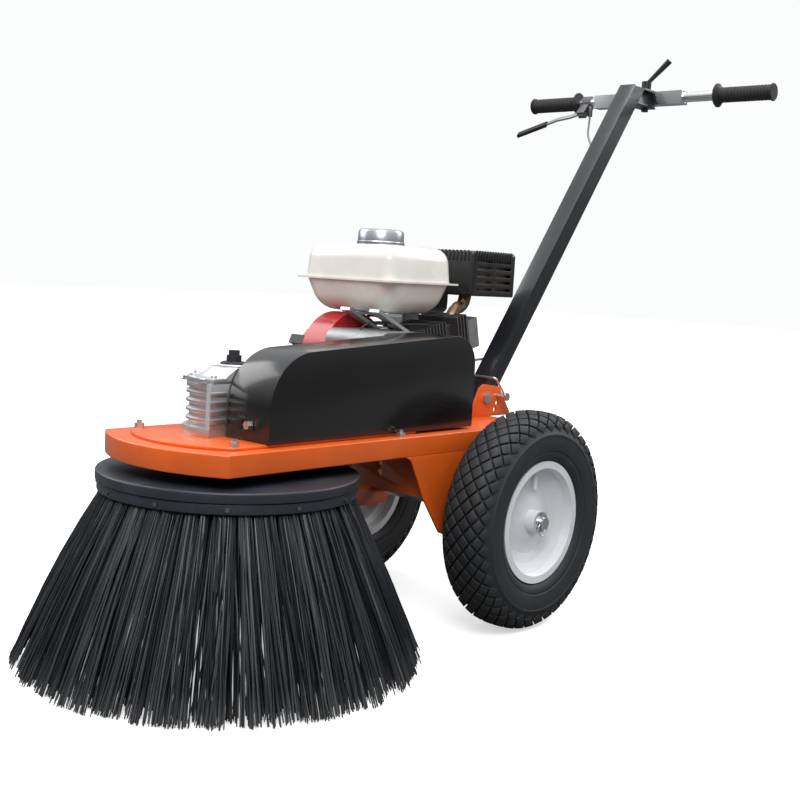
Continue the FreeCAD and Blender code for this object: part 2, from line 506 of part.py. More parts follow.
outer = cover_solid("cover_outer", "0", "cover_x", "cover_width", "deck_top + plate_gauge")
inner = cover_solid("cover_inner", "cover_gauge", "cover_x + cover_gauge", "cover_width - 2 * cover_gauge",
                    "deck_top")
windows = [rod_x("cover_worm_hole", "boss_radius + 1", "cover_x - 5", worm_y, worm_z, "12"),
           rod_x("cover_crank_hole", "34", "cover_x - 5", "crank_y", crank_z, "12"),
           rod("cover_cable_hole", "4", "20", ("cover_x + 26", "cover_rear - 10", "deck_top + 60"), (1, 0, 0), -90)]
windows += [box(f"cover_slot_{side}", ("3", "20", "14"),
                (f"cover_x + cover_width / 2 - 1.5 + {side} * 13", "cover_front - 10", "deck_top + 23"))
            for side in (-1, 1)]
node(cut("belt_cover", outer, [inner] + windows))
screws.append(hexagon("cover_bolt", "7", "5", ("cover_x + cover_width / 2", "cover_front", "deck_top + 30"),
                      (1, 0, 0), 90))
node(fuse("deck_bolts", screws))

# ---------------------------------------------------------------- engine
case = block("case_block", ("case_left - case_width", "case_left"), ("crank_y - case_front", "crank_y + case_rear"),
             ("deck_top + case_foot", "deck_top + crank_height + case_top"), along("x"), "22")
feet = [box(f"case_foot_{i}", ("case_width", "30", "case_foot + 6"),
            ("case_left - case_width", y, "deck_top"))
        for i, y in enumerate(("crank_y - case_front - 6", "crank_y + case_rear - 24"))]
sump = rod_x("case_hollow", "web_radius + 8", "case_left - case_width + case_wall", "crank_y", crank_z,
             "case_width - 2 * case_wall")
shaft_hole = rod_x("case_shaft_hole", "crank_radius + fit", "case_left - case_width - 10", "crank_y", crank_z,
                   "case_width + 20")
node(cut("crankcase", fuse("case_solid", [case] + feet), [sump, shaft_hole]))


def on_barrel(reach, lift, x="barrel_x"):
    """A point along the cylinder's own axis from the crank, lifted square to it."""
    return (x, f"crank_y + ({reach}) * cos(barrel_lean) - ({lift}) * sin(barrel_lean)",
            f"{crank_z} + ({reach}) * sin(barrel_lean) + ({lift}) * cos(barrel_lean)")


def barrel_box(name, start, length, half, half_x):
    at = on_barrel(start, f"-({half})", f"barrel_x - ({half_x})")
    return box(name, (f"2 * ({half_x})", length, f"2 * ({half})"), at, (1, 0, 0), "barrel_lean")


core = barrel_box("barrel_core", "barrel_start + 6", "barrel_end - barrel_start - 6", "barrel_half - fin_reach",
                  "barrel_half - fin_reach")
fins = [barrel_box(f"barrel_fin_{i}", f"barrel_start + 12 + {i} * fin_pitch", "fin_gauge", "barrel_half",
                   "barrel_half") for i in range(8)]
barrel = [core] + fins
head_core = barrel_box("head_core", "barrel_end", "head_length", "barrel_half - fin_reach", "barrel_half - 6")
fins = [barrel_box(f"head_fin_{i}", f"barrel_end + 3 + {i} * fin_pitch", "fin_gauge", "barrel_half + 2",
                   "barrel_half + 4") for i in range(4)]
spark = rod("spark_cap", "9", "24", on_barrel("barrel_end + 10", "0", "barrel_x - barrel_half - 20"), (0, 1, 0), 90)
near = box("cylinder_near", ("300", "200", "300"), ("-200", "crank_y + case_rear - 200", "deck_top"))
node(cut("cylinder", fuse("cylinder_solid", barrel + [head_core, spark] + fins), [near]))
node(barrel_box("valve_cover", "barrel_end + head_length", "valve_length", "30", "36"))
web = [("0", "0"), ("crank_radius - 3", "0"), ("crank_radius - 3", "78"), ("crank_radius", "80"),
       ("crank_radius", "112"), ("web_radius", "113"), ("web_radius", "128"), ("15", "129"), ("15", "150"),
       ("web_radius", "151"), ("web_radius", "166"), ("crank_radius", "167"), ("crank_radius", "214"),
       ("crank_radius - 3", "216"), ("crank_radius - 3", "296"), ("0", "296")]
crank = across("crank_turned", web, "-199", "crank_y", crank_z)
fly = [("crank_radius - 3", "0"), ("flywheel_radius", "0"), ("flywheel_radius", "flywheel_gauge"),
       ("crank_radius - 3", "flywheel_gauge")]
flywheel = across("flywheel", fly, "fan_x - flywheel_gauge - 12", "crank_y", crank_z)
node(fuse("crankshaft", [crank, flywheel]))
drum = [("20", "0"), ("fan_radius", "0"), ("fan_radius", "fan_depth - 14"), ("recoil_radius + 8", "fan_depth"),
        ("recoil_radius - 8", "fan_depth"), ("recoil_radius - 8", "fan_depth - 3"),
        ("recoil_radius + 6", "fan_depth - 3"), ("fan_radius - 3", "fan_depth - 16"), ("fan_radius - 3", "3"),
        ("20", "3")]
node(across("fan_cover", drum, "fan_x", "crank_y", crank_z, -1))
recoil = [("0", "recoil_depth - 3"), ("0", "recoil_depth"), ("recoil_radius - 20", "recoil_depth"),
          ("recoil_radius", "recoil_depth - 12"), ("recoil_radius", "0"), ("recoil_radius - 3", "0"),
          ("recoil_radius - 3", "recoil_depth - 13"), ("recoil_radius - 21", "recoil_depth - 3")]
node(across("recoil_housing", recoil, "fan_x - fan_depth", "crank_y", crank_z, -1))
starter_out = "(recoil_radius + gap + starter_deep)"
starter_at = ("fan_x - fan_depth - gap - starter_wide",
              f"crank_y - {starter_out} * cos(starter_lean) - starter_tall / 2 * sin(starter_lean)",
              f"{crank_z} + {starter_out} * sin(starter_lean) - starter_tall / 2 * cos(starter_lean)")
node(box("starter_handle", ("starter_wide", "starter_deep", "starter_tall"), starter_at, (1, 0, 0), "-starter_lean"))

tank = block("tank_body", ("tank_left - tank_width", "tank_left"), ("tank_front", "tank_front + tank_depth"),
             ("tank_low", "tank_low + tank_height"), every, "tank_round")
seam = block("tank_seam", ("tank_left - tank_width - seam_reach", "tank_left + seam_reach"),
             ("tank_front - seam_reach", "tank_front + tank_depth + seam_reach"),
             ("tank_low + seam_height", "tank_low + seam_height + seam_gauge"), along("z"), "tank_round")
neck = rod("tank_neck", "filler_radius", "14", ("filler_x", "filler_y", "tank_low + tank_height - 6"))
inner = block("tank_inside", ("tank_left - tank_width + 3", "tank_left - 3"),
              ("tank_front + 3", "tank_front + tank_depth - 3"), ("tank_low + 3", "tank_low + tank_height - 3"),
              every, "tank_round - 3")
mouth = rod("tank_mouth", "filler_radius - 4", "30", ("filler_x", "filler_y", "tank_low + tank_height - 20"))
node(cut("fuel_tank", fuse("tank_solid", [tank, seam, neck]), [inner, mouth]))
cap = [("0", "8.5"), ("filler_radius + fit", "8.5"), ("filler_radius + fit", "1"), ("cap_wide", "1"),
       ("cap_wide", "cap_tall - 4"), ("cap_wide - 6", "cap_tall"), ("0", "cap_tall")]
node(lathe("fuel_cap", cap, ("filler_x", "filler_y", "tank_low + tank_height")))
arms = []
for i, x in enumerate(("tank_left - 42", "tank_left - 116")):
    arms.append(box(f"tank_arm_{i}", ("24", "110", "6"), (x, "tank_front - 6", "tank_low + 3"), (1, 0, 0), "-tank_arm_dip"))
    arms.append(box(f"tank_shelf_{i}", ("24", "45", "5"), (x, "tank_front + 14", "tank_low - 5")))
under = box("tank_arm_floor", ("tank_width", "tank_depth", "60"), ("tank_left - tank_width", "tank_front", f"{crank_z} + case_top - 60"))
node(cut("tank_bracket", fuse("tank_arms", arms), [under]))

guard = block("guard_outer", ("guard_left - guard_width", "guard_left"),
              ("guard_front", "guard_front + guard_depth"), ("guard_low", "guard_low + guard_height"), every,
              "guard_round")
guard_inside = block("guard_inner", ("guard_left - guard_width + guard_gauge", "guard_left - guard_gauge"),
                     ("guard_front + guard_gauge", "guard_front + guard_depth - guard_gauge"),
                     ("guard_low - 2 * guard_round", "guard_low + guard_height - guard_gauge"), every,
                     "guard_round - guard_gauge")
slots = []
for column in range(2):
    for level in range(5):
        slots.append(box(f"guard_slot_{column}_{level}", ("20", "50", "6"),
                         ("guard_left - 10", f"guard_front + 16 + {column} * 62", f"guard_low + 14 + {level} * 14")))
node(cut("muffler_guard", guard, [guard_inside] + slots))
can = block("muffler_can", ("guard_left - guard_width + muffler_inset", "guard_left - muffler_inset"),
            ("guard_front + muffler_inset", "guard_front + guard_depth - muffler_inset"),
           ("guard_low + 3", "guard_low + guard_height - muffler_inset"), every, "10")
head_mouth = on_barrel("barrel_end + 22", "barrel_half + 2")
pipe = rod("exhaust_pipe", "pipe_radius", f"guard_low + 7 - ({head_mouth[2]})",
           ("barrel_x + 12", "guard_front + 26", head_mouth[2]))
node(fuse("muffler", [can, pipe]))
node(block("air_cleaner", ("cleaner_x", "cleaner_x + cleaner_width"), ("cleaner_y", "cleaner_y + cleaner_depth"),
           ("cleaner_low", "cleaner_low + cleaner_height"), every, "14"))
bowl = block("carb_body", ("cleaner_x + 30", "cleaner_x + 30 + carb_width"), ("cleaner_y + 12", "cleaner_y + 62"),
             ("carb_low", "cleaner_low"), every, "5")
shelf = box("throttle_shelf", ("carb_width - 12", "40", "4"), ("cleaner_x + 36", "cleaner_y - 26", "carb_low + 20"))
intake = block("intake_tube", ("cleaner_x + 30 + carb_width", "barrel_x - barrel_half - 4"),
               ("cleaner_y + 22", "cleaner_y + 46"), ("carb_low + 12", "carb_low + 36"), along("x"), "6")
node(fuse("carburettor", [bowl, shelf, intake]))
throttle_hub = ("cleaner_x + 52", "cleaner_y - 14", "carb_low + 24 + gap")
hub = rod("throttle_hub", "7", "9", throttle_hub)
arm = box("throttle_arm", ("44", "8", "4"), ("cleaner_x + 10", "cleaner_y - 18", "carb_low + 26"))
node(fuse("throttle_lever", [hub, arm]))

# ---------------------------------------------------------------- handle bracket and column
cheek = [("pivot_y - 43", "deck_top"), ("pivot_y + 84", "deck_top"), ("pivot_y + 84", "deck_top + 7"),
         ("pivot_y + 44", "pivot_z + 22"), ("pivot_y - 6", "pivot_z + 28"), ("pivot_y - 20", "pivot_z + 20"),
         ("pivot_y - 43", "deck_top + 8")]
cheeks = []
for i, x in enumerate(("cheek_inner", "-cheek_inner - cheek_gauge")):
    cheeks.append(pad(f"cheek_{i}", "YZ", cheek, "cheek_gauge", (x, 0, 0)))
lock_out = "column_offset + column_size / 2 + lock_radius + 2 * fit"
holes = [rod_x("cheek_pivot_hole", "pivot_radius", "-60", "pivot_y", "pivot_z", "120")]
for i, turn in enumerate(("0", "lower_turn", "2 * lower_turn")):
    _, y, z = on_column(f"({lock_out}) * cos({turn}) + lock_up * sin({turn})",
                        f"lock_up * cos({turn}) - ({lock_out}) * sin({turn})")
    holes.append(rod_x(f"cheek_lock_hole_{i}", "lock_radius + fit", "-60", y, z, "120"))
node(cut("handle_bracket", fuse("cheek_pair", cheeks), holes))
pivot = rod_x("pivot_rod", "pivot_radius", "-cheek_inner - cheek_gauge", "pivot_y", "pivot_z",
              "2 * (cheek_inner + cheek_gauge)")
heads = [hexagon(f"pivot_head_{i}", "11", "7", (x, "pivot_y", "pivot_z"), (0, 1, 0), 90)
         for i, x in enumerate(("cheek_inner + cheek_gauge", "-cheek_inner - cheek_gauge - 7"))]
node(fuse("pivot_bolt", [pivot] + heads))

half = "column_size / 2"
long = "(column_cut - pivot_z) / cos(lean) + column_foot + 40"


def tube(name, inset, extra):
    size = f"column_size - 2 * ({inset})"
    return box(name, (size, size, f"{long} + {extra}"),
               on_column(f"column_offset - ({size}) / 2", f"-column_foot - ({extra}) / 2", f"-({size}) / 2"),
               (1, 0, 0), "-lean")


top_trim = box("column_trim", ("200", "300", "200"), ("-100", "bar_y - 220", "column_cut"))
bores = [rod_x("column_pivot_hole", "pivot_radius + fit", "-60", "pivot_y", "pivot_z", "120")]
post = cut("column_tube", tube("column_outer", "0", "0"), [tube("column_inner", "column_wall", "20"), top_trim] + bores)
cap = box("column_cap_blank", ("column_size", "140", "3"), (f"-{half}", "bar_y - 220", "column_cut"))
cap_form = tube("column_cap_form", "0", "60")
lid = doc.addObject("Part::Common", "column_cap")
lid.Base, lid.Tool = cap, cap_form
node(fuse("column", [post, lid]))

jaws = []
for i, z in enumerate(("bar_z + sleeve_tall / 2 + gap", "bar_z - sleeve_tall / 2 - gap - jaw_gauge")):
    jaws.append(box(f"jaw_{i}", ("2 * jaw_half", "150", "jaw_gauge"), ("-jaw_half", "bar_y + jaw_reach - 150", z)))
front_trim = box("jaw_trim", ("column_size + 40", "240", "400"),
                 on_column("column_offset + column_size / 2 - 240", "600", "-column_size / 2 - 20"), (1, 0, 0), "-lean")
jaw_hole = rod("jaw_hole", "bolt_radius", "80", (0, "bar_y", "bar_z - 40"))
bracket = cut("jaw_bracket", fuse("jaw_pair", jaws), [front_trim, jaw_hole])
low_jaw = "bar_z - sleeve_tall / 2 - gap - jaw_gauge"
bolt = rod("swivel_rod", "bolt_radius", "sleeve_tall + 2 * gap + 2 * jaw_gauge + 12", (0, "bar_y", low_jaw))
nut = hexagon("swivel_nut", "9", "7", (0, "bar_y", f"{low_jaw} - 7"))
node(fuse("bar_bracket", [bracket, bolt, nut]))
hub = "bar_z + sleeve_tall / 2 + gap + jaw_gauge + gap"
knob = rod("clamp_hub", "11", "20", (0, "bar_y", hub))
stem = doc.addObject("Part::Cone", "clamp_stem")
bind(stem, Radius1="4.5", Radius2="7", Height="72")
place(stem, (0, "bar_y", f"{hub} + 14"), (-0.3, 1, 0), 43.5)
socket = rod("clamp_socket", "bolt_radius + fit", "13", (0, "bar_y", hub))
node(cut("clamp_lever", fuse("clamp_solid", [knob, stem]), [socket]))

# ---------------------------------------------------------------- handlebar
sleeve = box("sleeve_blank", ("sleeve_left + sleeve_right", "sleeve_deep", "sleeve_tall"),
             ("-sleeve_right", "bar_y - sleeve_deep / 2", "bar_z - sleeve_tall / 2"))
sleeve_hole = rod("sleeve_swivel_hole", "bolt_radius + fit", "80", (0, "bar_y", "bar_z - 40"))
bar_hole = rod_x("sleeve_bar_hole", "bar_radius", "-200", "bar_y", "bar_z", "400")
node(cut("bar_sleeve", sleeve, [sleeve_hole, bar_hole]))
bar = rod_x("bar_blank", "bar_radius", "-bar_half", "bar_y", "bar_z", "2 * bar_half")
bar_swivel_hole = rod("bar_swivel_hole", "bolt_radius + fit", "80", (0, "bar_y", "bar_z - 40"))
node(cut("handlebar", bar, [bar_swivel_hole]))
for name, side in (("left_grip", 1), ("right_grip", -1)):
    grip = [("bar_radius", "0"), ("grip_flange", "0"), ("grip_flange", "4"), ("grip_radius", "9"),
            ("grip_radius", "grip_length - 5"), ("grip_radius + 2", "grip_length - 4"),
            ("grip_radius + 2", "grip_length"), ("0", "grip_length"), ("0", "grip_length - grip_cap"),
            ("bar_radius", "grip_length - grip_cap")]
    node(across(name, grip, f"{side} * (bar_half + grip_cap - grip_length)", "bar_y", "bar_z", side))

band = rod_x("clamp_band_outer", "clamp_radius", "clamp_x", "bar_y", "bar_z", "clamp_width")
fork = box("clamp_fork", ("clamp_width", "lever_drop", "18"),
           ("clamp_x", "bar_y - (lever_drop + 8) * cos(lever_dip) + 9 * sin(lever_dip)",
            "bar_z - (lever_drop + 8) * sin(lever_dip) - 9 * cos(lever_dip)"), (1, 0, 0), "lever_dip")
band_hole = rod_x("clamp_band_hole", "bar_radius", "clamp_x - 5", "bar_y", "bar_z", "clamp_width + 10")
lever_x = "clamp_x + clamp_width / 2"
lever_at = (lever_x, "bar_y - lever_drop * cos(lever_dip)", "bar_z - lever_drop * sin(lever_dip)")


def by_lever(name, maker, across_z, *sizes):
    """Something standing on the lever's own pivot line."""
    at = (lever_at[0], f"{lever_at[1]} - ({across_z}) * sin(lever_dip)", f"{lever_at[2]} + ({across_z}) * cos(lever_dip)")
    return maker(name, *sizes, at, (1, 0, 0), "lever_dip")


blade_gap = box("clamp_blade_gap", ("60", "26", "lever_gauge + 1"),
                (f"{lever_x} - 30", "bar_y - (lever_drop + 11) * cos(lever_dip) + (lever_gauge + 1) / 2 * sin(lever_dip)",
                 "bar_z - (lever_drop + 11) * sin(lever_dip) - (lever_gauge + 1) / 2 * cos(lever_dip)"),
                (1, 0, 0), "lever_dip")
fork_hole = by_lever("clamp_fork_hole", rod, "-20", "3", "40")
jaw = cut("clamp_jaw", fuse("clamp_whole", [band, fork]), [band_hole, blade_gap, fork_hole])
lug = rod("clamp_lug", "5.5", "24", ("-140", "bar_y - 12", "bar_z - 34"))
node(fuse("lever_clamp", [jaw, lug, by_lever("lever_pin", rod, "-9", "3", "18")]))
blade = [("7", "-7"), ("7", "6"), ("-8", "6"), ("-30", "-6"), ("-62", "-15"), ("-150", "-63"), ("-150", "-71"),
         ("-62", "-24"), ("-28", "-16"), ("-8", "-7")]
blade_at = (lever_at[0], f"{lever_at[1]} + lever_gauge / 2 * sin(lever_dip)",
            f"{lever_at[2]} - lever_gauge / 2 * cos(lever_dip)")
blank = pad("lever_blade", "XY", blade, "lever_gauge", blade_at, (1, 0, 0), "lever_dip")
node(cut("clutch_lever", blank, [by_lever("lever_bore", rod, "-20", "3 + fit", "40")]))
tip = [("-86", "-26"), ("-153", "-62"), ("-153", "-75"), ("-86", "-40")]
tip_at = (lever_at[0], f"{lever_at[1]} + 4.5 * sin(lever_dip)", f"{lever_at[2]} - 4.5 * cos(lever_dip)")
node(cut("lever_tip", pad("lever_tip_blank", "XY", tip, "9", tip_at, (1, 0, 0), "lever_dip"),
         [pad("lever_tip_form", "XY", blade, "lever_gauge", blade_at, (1, 0, 0), "lever_dip")]))

# ---------------------------------------------------------------- lock pin and its wire bail
_, lock_y, lock_z = on_column(lock_out, "lock_up")


def lock_pin(name):
    shank = rod_x(name + "_shank", "lock_radius", "-50", lock_y, lock_z, "90")
    return fuse(name, [shank, rod_x(name + "_head", "8", "cheek_inner + cheek_gauge + 14", lock_y, lock_z, "10")])


node(lock_pin("lock_pin"))
bail_route = [("44", lock_y, lock_z), ("44", "bail_y", "bail_z"), ("-46", "bail_y", "bail_z"), ("-46", lock_y, lock_z)]
node(cut("lock_bail", cable("bail_wire", bail_route, "bail_radius", "8"), [lock_pin("bail_form")]))

# ---------------------------------------------------------------- clutch cable
upper_route = [("-140", "bar_y - 12", "bar_z - 36"), ("-134", "bar_y - 26", "bar_z - 80"),
               ("-70", "bar_y - 98", "bar_z - 125"),
               on_column("column_offset", "620", "-column_size / 2 - cable_radius - gap"),
               on_column("column_offset", "130", "-column_size / 2 - cable_radius - gap")]
node(cable("cable_upper", upper_route, "cable_radius", "cable_bend"))
lower_route = [on_column("column_offset", "128", "-column_size / 2 - cable_radius - gap"),
               on_column("column_offset", "96", "-column_size / 2 - cable_radius - gap"),
               on_column("column_offset - 46", "62", "-column_size / 2 - cable_radius - gap"),
               ("20", "pivot_y - 50", "pivot_z + 48"), ("cover_x + 26", "60", "deck_top + 60"),
               ("cover_x + 26", "cover_rear + 1", "deck_top + 60")]
node(cable("cable_lower", lower_route, "cable_radius", "cable_bend * 0.5"))

# ---------------------------------------------------------------- checks and export
doc.recompute()
faults = [item.Name for item in doc.Objects if "Invalid" in item.State or "Error" in item.State]
assert not faults, faults
os.makedirs("parts", exist_ok=True)
for thing in NODES:
    shape = thing.Shape
    assert not shape.isNull() and shape.isValid() and shape.Volume > 0, thing.Label
    shape.exportStep(f"parts/{thing.Label}.step")
print(len(NODES), "pieces")
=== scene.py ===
import math
import random

import bmesh
import bpy
import numpy as np
from mathutils import Matrix, Quaternion, Vector


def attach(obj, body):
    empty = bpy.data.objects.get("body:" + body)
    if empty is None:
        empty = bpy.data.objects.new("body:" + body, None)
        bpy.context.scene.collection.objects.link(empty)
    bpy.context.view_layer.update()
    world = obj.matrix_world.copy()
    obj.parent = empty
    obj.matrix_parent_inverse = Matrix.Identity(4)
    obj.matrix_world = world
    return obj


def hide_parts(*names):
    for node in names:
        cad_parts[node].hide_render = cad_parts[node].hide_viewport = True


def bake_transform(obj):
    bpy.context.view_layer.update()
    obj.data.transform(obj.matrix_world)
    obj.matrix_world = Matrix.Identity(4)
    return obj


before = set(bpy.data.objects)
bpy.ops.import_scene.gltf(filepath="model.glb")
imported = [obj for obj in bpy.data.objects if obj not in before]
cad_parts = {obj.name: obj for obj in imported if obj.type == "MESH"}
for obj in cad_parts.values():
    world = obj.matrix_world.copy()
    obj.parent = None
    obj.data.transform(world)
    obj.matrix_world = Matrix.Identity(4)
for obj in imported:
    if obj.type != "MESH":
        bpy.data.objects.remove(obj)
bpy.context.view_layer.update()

# Camera and lamps: a low three-quarter look at the brush side of the machine, with the horizon
# a little tilted, and four large soft lamps round it.
eye = Vector((1.422, -1.683, 0.631))
heading, dip, tilt = math.radians(131.0), math.radians(6.1), math.radians(3.25)
ahead = Vector((math.cos(dip) * math.cos(heading), math.cos(dip) * math.sin(heading), -math.sin(dip)))
facing = ahead.to_track_quat("-Z", "Y") @ Quaternion((0, 0, 1), tilt)
bpy.ops.object.camera_add(location=eye, rotation=facing.to_euler())
camera = bpy.context.object
camera.data.lens = 52.7
camera.data.sensor_width = 36
bpy.context.scene.camera = camera

for name, place, aim, size, power in (
    ("key_lamp", (2.2, -2.6, 3.2), (0, 0, 0.4), 2.0, 95),
    ("side_lamp", (-3.0, -1.2, 2.4), (0, 0, 0.4), 2.2, 45),
    ("rear_lamp", (1.2, 3.2, 2.8), (0, 0.2, 0.5), 2.2, 50),
    ("top_lamp", (0.0, 0.0, 4.2), (0, 0, 0), 2.6, 70),
):
    bpy.ops.object.light_add(type="AREA", location=place)
    lamp = bpy.context.object
    lamp.name = name
    lamp.data.size = size
    lamp.data.energy = power
    lamp.rotation_euler = (Vector(aim) - Vector(place)).to_track_quat("-Z", "Y").to_euler()


# Room: white walls and a white paper floor to the camera. What lights the machine from below and
# from the floor is much darker, so that its undersides and its black parts keep their depth.
class Wire:
    """A node socket in one material. Sums on it add Math nodes, and node() adds any other kind."""

    # The Mix node's colour sockets, which share their names with its other kinds of socket.
    FACTOR, FIRST, SECOND, MIXED = 0, 6, 7, 2

    def __init__(self, tree, socket):
        self.tree, self.socket = tree, socket

    def node(self, kind, settings, inputs, output=0):
        made = self.tree.nodes.new(kind)
        for key, value in settings.items():
            if key == "stops":
                ramp = made.color_ramp
                while len(ramp.elements) < len(value):
                    ramp.elements.new(0.5)
                for stop, (spot, shade) in zip(ramp.elements, value):
                    stop.position = spot
                    stop.color = (*shade, 1)
            else:
                setattr(made, key, value)
        for key, value in inputs.items():
            if isinstance(value, Wire):
                self.tree.links.new(value.socket, made.inputs[key])
            else:
                made.inputs[key].default_value = value
        return Wire(self.tree, made.outputs[output])

    def _sum(self, operation, left, right):
        return self.node("ShaderNodeMath", {"operation": operation}, {0: left, 1: right})

    def __add__(self, other): return self._sum("ADD", self, other)
    def __radd__(self, other): return self._sum("ADD", other, self)
    def __sub__(self, other): return self._sum("SUBTRACT", self, other)
    def __rsub__(self, other): return self._sum("SUBTRACT", other, self)
    def __mul__(self, other): return self._sum("MULTIPLY", self, other)
    def __rmul__(self, other): return self._sum("MULTIPLY", other, self)

    def clamp(self, low, high):
        """0 at the low value, 1 at the high one, and straight between them."""
        return self.node("ShaderNodeMapRange", {"clamp": True},
                         {"Value": self, "From Min": low, "From Max": high, "To Min": 0.0, "To Max": 1.0})

    def blend(self, first, second):
        """Mixes two colours by this value."""
        first, second = ((*end, 1) if isinstance(end, tuple) else end for end in (first, second))
        return self.node("ShaderNodeMix", {"data_type": "RGBA"},
                         {self.FACTOR: self, self.FIRST: first, self.SECOND: second}, self.MIXED)

    def noise(self, scale, detail=3.0):
        return self.node("ShaderNodeTexNoise", {},
                         {"Vector": self, "Scale": scale, "Detail": detail, "Roughness": 0.55})

    def bump(self, strength, distance):
        return self.node("ShaderNodeBump", {}, {"Height": self, "Strength": strength, "Distance": distance})


world = bpy.data.worlds.new("room")
bpy.context.scene.world = world
world.use_nodes = True
room = Wire(world.node_tree, None)
sky = room.tree.nodes["Background"]
sky.inputs["Strength"].default_value = 1.0
rise = room.node("ShaderNodeSeparateXYZ", {},
                 {"Vector": room.node("ShaderNodeTexCoord", {}, {}, "Generated")}, "Z")
dusk, noon = ((shade * 0.97, shade * 0.985, shade) for shade in (0.16, 1.0))
fade = rise.node("ShaderNodeValToRGB", {"stops": ((0.02, dusk), (0.75, noon))}, {"Fac": rise})
walls = room.node("ShaderNodeLightPath", {}, {}, "Is Camera Ray").blend(fade, (0.97, 0.975, 0.98))
room.tree.links.new(walls.socket, sky.inputs["Color"])
bpy.context.scene.view_settings.view_transform = "Standard"


def new_finish(name, **fixed):
    """A material with one shader, and its Object coordinates; fixed sockets are set here."""
    material = bpy.data.materials.new(name)
    material.use_nodes = True
    shader = material.node_tree.nodes["Principled BSDF"]
    for socket, value in fixed.items():
        shader.inputs[socket.replace("_", " ")].default_value = value
    spot = Wire(material.node_tree, None).node("ShaderNodeTexCoord", {}, {}, "Object")
    return material, shader, spot


def feed(shader, **wires):
    """Links what varies over the surface to the shader's sockets."""
    for socket, wire_in in wires.items():
        wire_in.tree.links.new(wire_in.socket, shader.inputs[socket.replace("_", " ")])


bpy.ops.mesh.primitive_plane_add(size=40, location=(0, 0, -0.0005))
floor = bpy.context.object
floor.name = "floor"
floor_finish, shader, spot = new_finish("floor_paper", Specular_IOR_Level=0.1, Emission_Strength=0.55)
direct = spot.node("ShaderNodeLightPath", {}, {}, "Is Camera Ray")
feed(shader, Base_Color=direct.blend((0.14, 0.14, 0.14), (0.9, 0.9, 0.9)),
     Roughness=spot.noise(1.4) * 0.1 + 0.8,
     Emission_Color=direct.blend((0.0, 0.0, 0.0), (1.0, 1.0, 1.0)))
floor.data.materials.append(floor_finish)


# Deck: a folded steel tray with a bowed nose, a gearbox plate on top, side legs with a cross plate
# welded underneath, and the handle bracket. All of it is powder coated orange.
def coated(name, colour, rough=0.32, coat=0.35, peel=0.12, dust=0.04):
    """Sprayed or baked paint: orange peel, faint mottling and a little dust in the dull parts."""
    material, shader, spot = new_finish(name, Coat_Roughness=0.12, Specular_IOR_Level=0.5)
    broad, fine = spot.noise(9.0, 4.0), spot.noise(420.0, 2.0)
    deep = tuple(c * 0.86 for c in colour)
    dusty = tuple(min(1, c * 0.9 + dust) for c in colour)
    tone = broad.clamp(0.35, 0.65).blend(deep, colour)
    feed(shader, Base_Color=(spot.noise(38.0, 5.0).clamp(0.62, 0.8) * 0.6).blend(tone, dusty),
         Roughness=broad * 0.14 + (rough - 0.05), Coat_Weight=broad * 0.2 + (coat - 0.1),
         Normal=fine.bump(peel, 0.0004))
    return material


def only(thing):
    """Leaves one object selected and active."""
    bpy.ops.object.select_all(action="DESELECT")
    thing.select_set(True)
    bpy.context.view_layer.objects.active = thing


def settle(piece, body, slot, material, *replaced, smooth=35):
    """Puts a finished piece at the origin, smooths it, and rides it on its body, if it has just one."""
    only(piece)
    bpy.ops.object.transform_apply(location=True, rotation=True, scale=True)
    bpy.ops.object.shade_smooth_by_angle(angle=math.radians(smooth))
    piece.data.materials.clear()
    piece.data.materials.append(material)
    if body:
        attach(piece, body)
    if replaced:
        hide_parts(*replaced)


def eased(node, body, slot, material, edge, segments=3):
    """A node's own shape with its sharp edges rolled over, as bending and paint leave them."""
    piece = bpy.data.objects.new(node + "_eased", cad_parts[node].data.copy())
    bpy.context.scene.collection.objects.link(piece)
    only(piece)
    bpy.ops.object.mode_set(mode="EDIT")
    bpy.ops.mesh.select_all(action="SELECT")
    bpy.ops.mesh.remove_doubles(threshold=0.00002)
    bpy.ops.mesh.dissolve_limited(angle_limit=math.radians(1.0))
    bpy.ops.object.mode_set(mode="OBJECT")
    bevel = piece.modifiers.new("edge", "BEVEL")
    bevel.width, bevel.segments, bevel.limit_method = edge, segments, "ANGLE"
    bevel.angle_limit = math.radians(40)
    bpy.ops.object.modifier_apply(modifier="edge")
    settle(piece, body, slot, material, node)


orange = coated("orange_powder_coat", (0.83, 0.13, 0.012), rough=0.34)
for node, edge in (("deck_tray", 0.003), ("gearbox_plate", 0.0015), ("leg_frame", 0.0012),
                   ("handle_bracket", 0.001)):
    eased(node, "chassis", "orange", orange, edge)


# Zinc plated fastenings and bare steel shafts: hexagon heads, washers, split pins and the lock pin,
# bright with a bluish cast. The axle, the shafts and the idler's arm are ground steel.
def metal(name, colour, rough, grain=60.0, depth=0.15, stain=(0.35, 0.33, 0.3), stain_amount=0.25):
    """Bare or plated metal with fine tool marks, dull patches and a little staining."""
    material, shader, spot = new_finish(name, Metallic=1.0)
    broad, fine = spot.noise(28.0, 5.0), spot.noise(grain * 12, 3.0)
    feed(shader, Base_Color=(broad.clamp(0.5, 0.8) * stain_amount).blend(colour, stain),
         Roughness=broad * 0.22 + (rough - 0.08), Normal=fine.bump(depth, 0.0003))
    return material


def wear(material, *nodes):
    """Gives CAD nodes that are shown as they are their finish."""
    for node in nodes:
        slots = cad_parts[node].data.materials
        slots.clear()
        slots.append(material)


